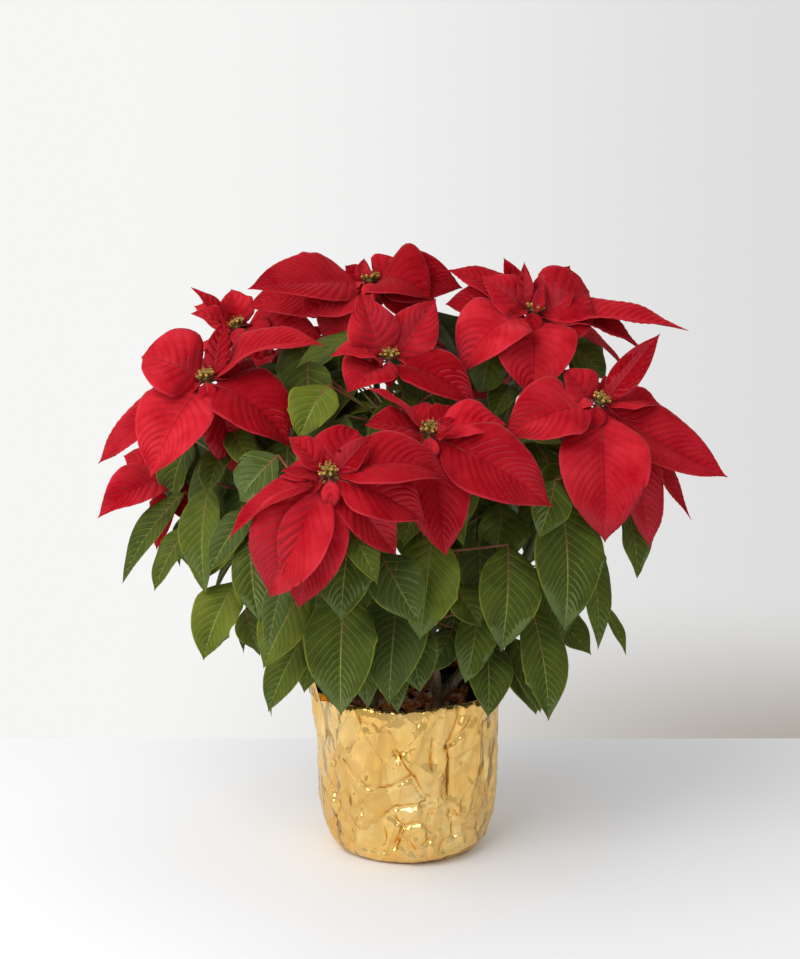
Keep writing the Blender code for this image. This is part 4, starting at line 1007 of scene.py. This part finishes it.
# Bracts seen in the photo, from the yellow centre to the tip: right, away, up,
# then the width, the way the upper face looks (turn to the right, rise) and the arch.
SEEN_BRACTS = {
    "left": [
        (-54, 10, 12, 58, -16, 40, 0.26),
        (-43, -45, -78, 62, -14, 36, 0.13),
        (-93, 8, -80, 46, -38, 50, 0.05),
        (72, -35, -55, 60, 16, 44, 0.20),
        (102, -15, 27, 45, 0, 74, 0.15),
        (17, 5, 46, 20, 0, 18, 0.05),
        (36, 12, -8, 32, 10, 50, 0.10),
        (32, 10, -94, 40, 8, 18, 0.08),
    ],
    "upper_left": [
        (-39, 0, 31, 15, 0, 62, 0.10),
        (-39, 15, 12, 26, 0, 70, 0.15),
        (-38, -10, 4, 26, -20, 55, 0.12),
        (-5, 20, 26, 30, 0, 30, 0.10),
        (31, -25, -9, 30, 20, 50, 0.12),
        (78, -15, -13, 40, 10, 46, 0.12),
        (24, -18, -30, 34, 6, 40, 0.10),
        (56, 10, -9, 34, 0, 40, 0.12),
    ],
    "top": [
        (-103, -25, -10, 54, -16, 46, 0.05),
        (-60, -35, -31, 52, -20, 32, 0.12),
        (-40, -42, -49, 40, -15, 42, 0.15),
        (-108, -2, -28, 50, -12, 40, 0.04),
        (-5, 0, 15, 14, 0, 30, 0.05),
        (-22, 5, 8, 16, 0, 40, 0.10),
        (53, -35, -15, 58, 16, 40, 0.36),
        (80, 8, -14, 46, 10, 34, 0.20),
        (28, 12, 10, 36, 4, 30, 0.10),
        (59, -5, -37, 40, 14, 34, 0.12),
    ],
    "centre": [
        (-23, -8, 52, 42, 0, 12, 0.05),
        (39, 0, 46, 40, 0, 14, 0.05),
        (72, -22, -42, 42, 12, 44, 0.20),
        (-34, -35, -26, 46, -20, 46, 0.12),
        (-48, -25, 2, 30, 0, 70, 0.10),
    ],
    "middle": [
        (-52, -5, 33, 22, 0, 82, 0.10),
        (-52, -20, 6, 34, 0, 58, 0.12),
        (20, -20, 6, 13, 0, 30, 0.05),
        (99, -20, -62, 58, 8, 30, 0.12),
        (63, 15, -2, 36, 0, 56, 0.16),
        (13, -25, -102, 50, 0, 12, 0.08),
    ],
    "front": [
        (-32, 15, 23, 25, 0, 60, 0.10),
        (23, 30, 25, 44, 0, 52, 0.20),
        (35, -5, 30, 20, 0, 18, 0.05),
        (95, 15, -12, 48, 10, 52, 0.24),
        (77, -25, -35, 46, 8, 36, 0.14),
        (-36, -15, 3, 15, 0, 60, 0.05),
        (-80, -5, -57, 34, -60, 60, 0.10),
        (-47, -30, -98, 62, -14, 22, 0.12),
        (-24, -5, -113, 52, 0, 16, 0.08),
        (54, 10, -73, 35, 12, 20, 0.08),
    ],
    "upper_right": [
        (-63, -35, -53, 58, -24, 36, 0.30),
        (-4, -52, -70, 66, 0, 24, 0.16),
        (-46, -5, 25, 34, 0, 35, 0.12),
        (-75, 20, 27, 30, 0, 60, 0.10),
        (-76, 12, -1, 40, -10, 44, 0.12),
        (-27, 5, 40, 20, 0, 30, 0.08),
        (-10, -5, 38, 14, 0, 20, 0.05),
        (47, 5, 12, 62, 14, 22, 0.30),
        (30, 12, 32, 34, 4, 24, 0.10),
        (6, -8, 22, 10, 0, 20, 0.00),
        (130, -10, -20, 38, 0, 74, 0.04),
        (94, -5, -41, 32, 10, 70, 0.12),
        (81, 22, -62, 26, 20, 72, 0.10),
    ],
    "right": [
        (-83, -30, -27, 56, -20, 34, 0.14),
        (2, -40, -114, 70, 0, 22, 0.14),
        (43, -5, -130, 46, 28, 26, 0.12),
        (106, -10, -66, 52, 22, 38, -0.04),
        (80, 15, -110, 34, 60, 40, 0.02),
        (48, 5, 53, 24, 0, 24, 0.04),
        (51, 20, -10, 30, 10, 60, 0.12),
        (-31, 10, 21, 30, -10, 50, 0.12),
    ],
    "low_left": [
        (-61, -5, -47, 42, -24, 36, 0.18),
        (-43, 8, 11, 34, -10, 40, 0.12),
        (-14, -10, -71, 24, -20, 24, 0.08),
        (10, -20, -22, 18, 10, 30, 0.05),
        (15, -10, -8, 22, 10, 40, 0.10),
        (10, -18, -40, 22, 6, 24, 0.08),
    ],
}
# Bracts that the photo hides, placed round the head by the golden angle:
# number, first turn in degrees, arc they may fill (from, to) and length.
HIDDEN_BRACTS = {
    "left": (3, 100, (60, 200), 82),
    "upper_left": (6, 95, (20, 215), 72),
    "top": (4, 70, (15, 170), 84),
    "centre": (4, 80, (20, 165), 66),
    "middle": (3, 60, (30, 160), 66),
    "front": (2, 90, (50, 150), 62),
    "upper_right": (3, 100, (40, 175), 80),
    "right": (3, 60, (20, 150), 78),
    "low_left": (6, 100, (10, 250), 66),
    "back_left": (9, 0, (0, 360), 90),
    "back": (9, 40, (0, 360), 94),
    "back_right": (9, 80, (0, 360), 90),
    "far_right": (8, 20, (0, 360), 74),
}
BRACT_OUTLINE = [(0.0, 0.035), (0.05, 0.22), (0.12, 0.52), (0.21, 0.80), (0.31, 0.96), (0.41, 1.0)]
BRACT_OUTLINE += [(0.53, 0.94), (0.66, 0.78), (0.78, 0.54), (0.88, 0.29)]
BRACT_OUTLINE += [(0.94, 0.12), (0.98, 0.03), (1.0, 0.01)]


def bract_spec(name, tip, depth, width, face, arch, seen):
    """What lay_blade needs for a bract that springs this deep under the middle of the bloom.
    Low ones are drawn closer up under the buds than in the solid."""
    axis = head_axis(name)
    root = Vector(BLOOMS[name][1]) - axis * depth
    out = tip - root
    out = (out - axis * out.dot(axis)).normalized()
    root = root + out * ROOT_OUT
    return {
        "root": root,
        "base": root + out * BRACT_FOOT + axis * 2,
        "tip": tip,
        "width": width * BRACT_FULLNESS,
        "face": face,
        "arch": arch,
        "base_share": 0.0,
        "closer": axis * max(0.0, depth - 6) * 0.8,
        "seen": seen,
    }


def seen_bract_specs(name):
    """The bracts of one bloom that the photo shows, the most drooping lowest on the head."""
    centre = Vector(BLOOMS[name][1])
    axis = head_axis(name)
    rows = sorted(SEEN_BRACTS.get(name, []), key=lambda row: -axis.dot(Vector(row[:3]).normalized()))
    specs = []
    for i, row in enumerate(rows):
        depth = 7.5 + BRACT_SPAN * i / max(len(rows) - 1, 1)
        face = facing(row[4], row[5])
        specs.append(bract_spec(name, centre + Vector(row[:3]), depth, row[3], face, row[6], True))
    return specs


def hidden_bract_specs(name):
    """Bracts round the far side of a bloom, one golden angle after another."""
    count, first, arc, length = HIDDEN_BRACTS[name]
    draw = random.Random("bracts " + name)
    axis = head_axis(name)
    centre = Vector(BLOOMS[name][1])
    away = (Vector((0, 1, 0)) - axis * axis.y).normalized()
    right = away.cross(axis)
    specs = []
    turn = math.radians(first)
    while len(specs) < count:
        degrees = math.degrees(turn) % 360
        if arc[0] <= degrees <= arc[1]:
            i = len(specs)
            out = ring_way(right, away, turn)
            reach = length * (0.62 + 0.42 * i / count) * draw.uniform(0.92, 1.06)
            droop = math.radians(4 + 30 * i / count + draw.uniform(-5, 5))
            tip = centre - axis * 8 + out * reach * math.cos(droop) - axis * reach * math.sin(droop)
            width = reach * draw.uniform(0.50, 0.60)
            depth = 9.5 + BRACT_SPAN * i / count
            specs.append(bract_spec(name, tip, depth, width, axis, 0.13, False))
        turn += GOLDEN_ANGLE
    return specs


# Upper face of a bract: crimson velvet. Tiny hairs make it pinkish where it is seen at a low
# angle, and the sunk side veins are painted a darker red, as painted shade in their grooves.
bract_upper, tree, shader, place = new_finish("bract_upper_face")
veins, middle, edge = vein_shares(tree, 0.12, 0.26, 0.03, 0.55)
tone = add_node(tree, "Attribute", gives="Fac", attribute_name="tone")
mottle = add_node(tree, "TexNoise", {"Vector": place, "Scale": 45.0, "Detail": 4.0})
deep = add_node(tree, "ValToRGB", {"Fac": mottle}, stops=[(0.3, "#86000A"), (0.7, "#9C0010")])
bright = add_node(tree, "ValToRGB", {"Fac": mottle}, stops=[(0.3, "#C20C20"), (0.7, "#E43440")])
body = add_node(tree, "Mix", {0: tone, 6: deep, 7: bright}, data_type="RGBA")
net = net_share(tree, place, 2.2, 0.12)
# Painted light: the thin margin gets a lighter, pinker red line.
margin = add_node(tree, "MapRange", {"Value": edge, "From Min": 0.92, "From Max": 0.99, "To Max": 0.45})
for share, colour in ((net, "#D02436"), (veins, "#86030F"), (middle, "#70060F"), (margin, "#E24450")):
    body = add_node(tree, "Mix", {0: share, 6: body, 7: colour}, data_type="RGBA")
quilted = quilting(tree, edge, 0.0005, net, 0.0025)
fill(shader, {"Base Color": body, "Roughness": 0.55, "Specular IOR Level": 0.05, "Normal": quilted})
fill(shader, {"Sheen Weight": 0.26, "Sheen Roughness": 0.3, "Sheen Tint": "#FF8888"})
let_light_through(tree, shader, 0.18, "#E40C18")

# Lower face of a bract: a paler, duller red with the veins raised.
bract_lower, tree, shader, place = new_finish("bract_lower_face")
veins, middle, edge = vein_shares(tree, 0.10, 0.4, 0.04, 0.7)
mottle = add_node(tree, "TexNoise", {"Vector": place, "Scale": 45.0, "Detail": 3.0})
body = add_node(tree, "ValToRGB", {"Fac": mottle}, stops=[(0.3, "#A81422"), (0.7, "#BA2432")])
for share, colour in ((veins, "#CE5A60"), (middle, "#B8504A")):
    body = add_node(tree, "Mix", {0: share, 6: body, 7: colour}, data_type="RGBA")
raised = add_node(tree, "Bump", {"Height": veins, "Strength": 0.6, "Distance": 0.001})
fill(shader, {"Base Color": body, "Roughness": 0.6, "Specular IOR Level": 0.2, "Normal": raised})
fill(shader, {"Sheen Weight": 0.12, "Sheen Roughness": 0.4, "Sheen Tint": "#FFACAC"})
let_light_through(tree, shader, 0.18, "#E40C18")

# Skin of the bracts' stalks: smooth and dark red.
reds = [(0.35, "#6E0E16"), (0.65, "#8A2424")]
bract_stalk = mottled_finish("bract_stalk_skin", 60.0, 2.0, reds, {"Roughness": 0.5})

BRACT_LOOK = {
    "shares": smooth_outline(BRACT_OUTLINE),
    "opens": 0.45,
    "fold": (1.1, 1.8),
    "pucker": 1.15,
    "wave": 1.3,
    "curl": (-0.02, 0.16),
    "lobed": 0.12,
    "stalk": 0.9,
    "upper": 0,
    "lower": 1,
    "stalk_paint": 2,
}
head_finishes = [bract_upper, bract_lower, bract_stalk, shoot_skin]
for name in BLOOMS:
    node = "bracts_" + name
    draw = random.Random("bract looks " + name)
    work = blade_sheet()
    lay_blades(work, node, seen_bract_specs(name) + hidden_bract_specs(name), draw, BRACT_LOOK)
    # Small young bracts crowd right under the buds, a guess that the solids don't have.
    axis = head_axis(name)
    centre = Vector(BLOOMS[name][1])
    side = axis.orthogonal().normalized()
    for k in range(YOUNG_BRACTS):
        out = ring_way(side, axis.cross(side), GOLDEN_ANGLE * k + 0.6)
        reach = 19 + 2.2 * k
        droop = math.radians(14 + 6 * k)
        tip = centre - axis * (4 + reach * math.sin(droop)) + out * reach * math.cos(droop)
        young = bract_spec(name, tip, 5.6, reach * 0.52, axis, 0.12, False)
        lay_blade(work, young, Vector(), draw, BRACT_LOOK)
    core = [centre - axis * (HEAD_LENGTH + HEAD_ROOM - 32 * i / 8) for i in range(9)]
    grow_stalk(work, core, [NECK_RADIUS + 0.2 * i / 8 for i in range(9)], 12, 3, 0.12)
    finish_piece("red_bracts_" + name, work, head_finishes, "root", [node])

# Flower buds. In the middle of a head sits a knot of small green cups that hold the true
# flowers, each with a yellow nectar lip on its side and a few red and yellow stamens. They
# stand on short stalks that grow from one small disc. The cups are modelled closed.
CUPS = 11
CUP_LENGTH = 5.6
CUP_RADIUS = 1.9
CUP_SPACING = 1.95

# Cups are waxy and olive, turning yellow. The nectar lips are wet and shine, and stamens are
# dull red.
olives = [(0.3, "#565018"), (0.5, "#8A7430"), (0.7, "#B08A40")]
cup_surface = {"Roughness": 0.4, "Specular IOR Level": 0.4}
cup_skin = mottled_finish("cyathium_cup", 180.0, 2.0, olives, cup_surface)
yellows = [(0.3, "#B8862E"), (0.7, "#DEB45C")]
gland = mottled_finish("nectar_gland", 250.0, 2.0, yellows, {"Roughness": 0.25})
reds = [(0.35, "#8E1814"), (0.65, "#B0441C")]
stamen = mottled_finish("stamen_red", 250.0, 1.0, reds, {"Roughness": 0.5})


def add_ball(work, middle, way, radius, length, sides, rings, paint):
    """Egg of this radius and length round its middle, along a way."""
    turn = way.to_track_quat("Z", "Y").to_matrix().to_4x4()
    size = Matrix.Diagonal((radius * MM, radius * MM, length / 2 * MM, 1))
    place = Matrix.Translation(middle * MM) @ turn @ size
    egg = bmesh.ops.create_uvsphere(work, u_segments=sides, v_segments=rings, radius=1.0, matrix=place)
    made = egg["verts"]
    for face in {face for v in made for face in v.link_faces}:
        face.material_index = paint


bud_finishes = [cup_skin, gland, stamen, shoot_skin]
for name in BLOOMS:
    work = bmesh.new()
    draw = random.Random("cups " + name)
    axis = head_axis(name)
    centre = Vector(BLOOMS[name][1])
    side = axis.orthogonal().normalized()
    across = axis.cross(side)
    disc = [centre - axis * 5.6, centre - axis * 4.4, centre - axis * 2.4]
    grow_stalk(work, disc, [3.4, 4.4, 3.6], 12, 3)
    for k in range(CUPS):
        away = CUP_SPACING * math.sqrt(k)
        out = ring_way(side, across, GOLDEN_ANGLE * k)
        way = (axis + out * away * 0.09).normalized()
        size = draw.uniform(0.78, 1.08)
        middle = centre + out * away + axis * (1.2 - 0.10 * away * away * 0.5 + draw.uniform(-0.7, 0.7))
        add_ball(work, middle, way, CUP_RADIUS * size, CUP_LENGTH * size, 10, 8, 0)
        grow_stalk(work, [centre - axis * 3.2 + out * away * 0.6, middle - way * 1.8], [0.9, 1.1], 6, 3)
        # A nectar lip on one side of the rim, and stamens out of the top.
        lip_way = (out + side * draw.uniform(-0.5, 0.5) + across * draw.uniform(-0.5, 0.5)).normalized()
        lip = middle + way * CUP_LENGTH * 0.22 + lip_way * CUP_RADIUS * 0.85
        add_ball(work, lip, (lip_way + way * 0.5).normalized(), 1.15, 1.3, 8, 6, 1)
        for _ in range(draw.choice((1, 2, 3))):
            lean = (way + side * draw.uniform(-0.4, 0.4) + across * draw.uniform(-0.4, 0.4)).normalized()
            top = middle + way * CUP_LENGTH * 0.40
            grow_stalk(work, [top, top + lean * 1.6], [0.28, 0.22], 5, 2)
            add_ball(work, top + lean * 1.8, lean, 0.45, 0.8, 6, 4, 1 if draw.random() < 0.6 else 2)
    finish_piece("cyathia_" + name, work, bud_finishes, "root", ["flower_buds_" + name])

# Studio. A pale matt table in front of a pale wall, which the plain surroundings stand for,
# with one large soft light high on the left of the camera. Sizes here are in metres.
TABLE_SIDE = 3.0
TABLE_FRONT = -3.5
TABLE_BACK = 0.247
TABLE_TOP = -0.0004
CAMERA_SIDE = -0.006
CAMERA_AWAY = 2.0
CAMERA_HEIGHT = 0.85
AIM_HEIGHT = 0.333
# The photo's height and the lens's focal length, both in the photo's pixels.
PHOTO_HEIGHT = 959
FOCAL_LENGTH = 2369

# Matt white board: almost even, with a faint sheen.
whites = [(0.2, "#EDEDEE"), (0.8, "#F1F1F2")]
table_surface = {"Roughness": 0.6, "Specular IOR Level": 0.3}
matt_white = mottled_finish("matt_white_table", 3.0, 1.0, whites, table_surface)
floor_work = bmesh.new()
bmesh.ops.create_grid(floor_work, x_segments=1, y_segments=1, size=1.0)
for v in floor_work.verts:
    v.co = Vector((v.co.x * TABLE_SIDE, TABLE_BACK if v.co.y > 0 else TABLE_FRONT, TABLE_TOP))
floor_mesh = bpy.data.meshes.new("table_top")
floor_work.to_mesh(floor_mesh)
floor_work.free()
floor_mesh.materials.append(matt_white)
table_top = bpy.data.objects.new("table_top", floor_mesh)
bpy.context.scene.collection.objects.link(table_top)

# The wall is painted bright on the left and greyer on the right, as painted shading, with a
# painted warm shadow low on the right. Behind the camera the room is an even pale grey.
world = bpy.data.worlds.new("pale_studio")
bpy.context.scene.world = world
world.use_nodes = True
tree = world.node_tree
parts = tree.nodes.new("ShaderNodeSeparateXYZ")
fill(parts, {"Vector": add_node(tree, "TexCoord", gives="Generated")})
x, y, z = parts.outputs
smooth = {"interpolation_type": "SMOOTHSTEP"}
rightward = {"Value": x, "From Min": -0.12, "From Max": 0.2, "To Max": 0.8}
painted_falloff_right = add_node(tree, "MapRange", rightward, **smooth)
fading = {"Value": x, "From Min": 0.3, "From Max": 0.6, "To Min": 1.0, "To Max": 0.0}
still = add_node(tree, "MapRange", fading)
down = add_node(tree, "MapRange", {"Value": z, "From Min": -0.29, "From Max": -0.36}, **smooth)
painted_shadow_low_right = add_node(tree, "Math", {0: painted_falloff_right, 1: down}, operation="MULTIPLY")
painted_shadow_low_right = add_node(tree, "Math", {0: painted_shadow_low_right, 1: still}, operation="MULTIPLY")
# Painted shading and a painted shadow on the wall seen behind the plant.
wall = add_node(tree, "Mix", {0: painted_falloff_right, 6: "#F6F6F5", 7: "#D6D6D6"}, data_type="RGBA")
wall = add_node(tree, "Mix", {0: painted_shadow_low_right, 6: wall, 7: "#9C9184"}, data_type="RGBA")
to_wall = add_node(tree, "MapRange", {"Value": y, "From Min": -0.1, "From Max": 0.6}, **smooth)
room = add_node(tree, "Mix", {0: to_wall, 6: "#CCCDCF", 7: wall}, data_type="RGBA")
fill(tree.nodes["Background"], {"Color": room, "Strength": 1.0})

key = bpy.data.lights.new("soft_key", "AREA")
key.shape = "SQUARE"
key.size = 1.9
key.energy = 44
key_lamp = bpy.data.objects.new("soft_key", key)
key_lamp.location = (-1.25, -1.15, 1.75)
key_lamp.rotation_euler = (Vector((0, 0, 0.25)) - key_lamp.location).to_track_quat("-Z", "Y").to_euler()
bpy.context.scene.collection.objects.link(key_lamp)

camera = bpy.data.cameras.new("camera")
camera.sensor_width = 36
camera.lens = camera.sensor_width * FOCAL_LENGTH / PHOTO_HEIGHT
viewer = bpy.data.objects.new("camera", camera)
viewer.location = (CAMERA_SIDE, -CAMERA_AWAY, CAMERA_HEIGHT)
viewer.rotation_euler = (math.pi / 2 - math.atan2(CAMERA_HEIGHT - AIM_HEIGHT, CAMERA_AWAY), 0, 0)
bpy.context.scene.collection.objects.link(viewer)
bpy.context.scene.camera = viewer
bpy.context.scene.view_settings.view_transform = "Standard"
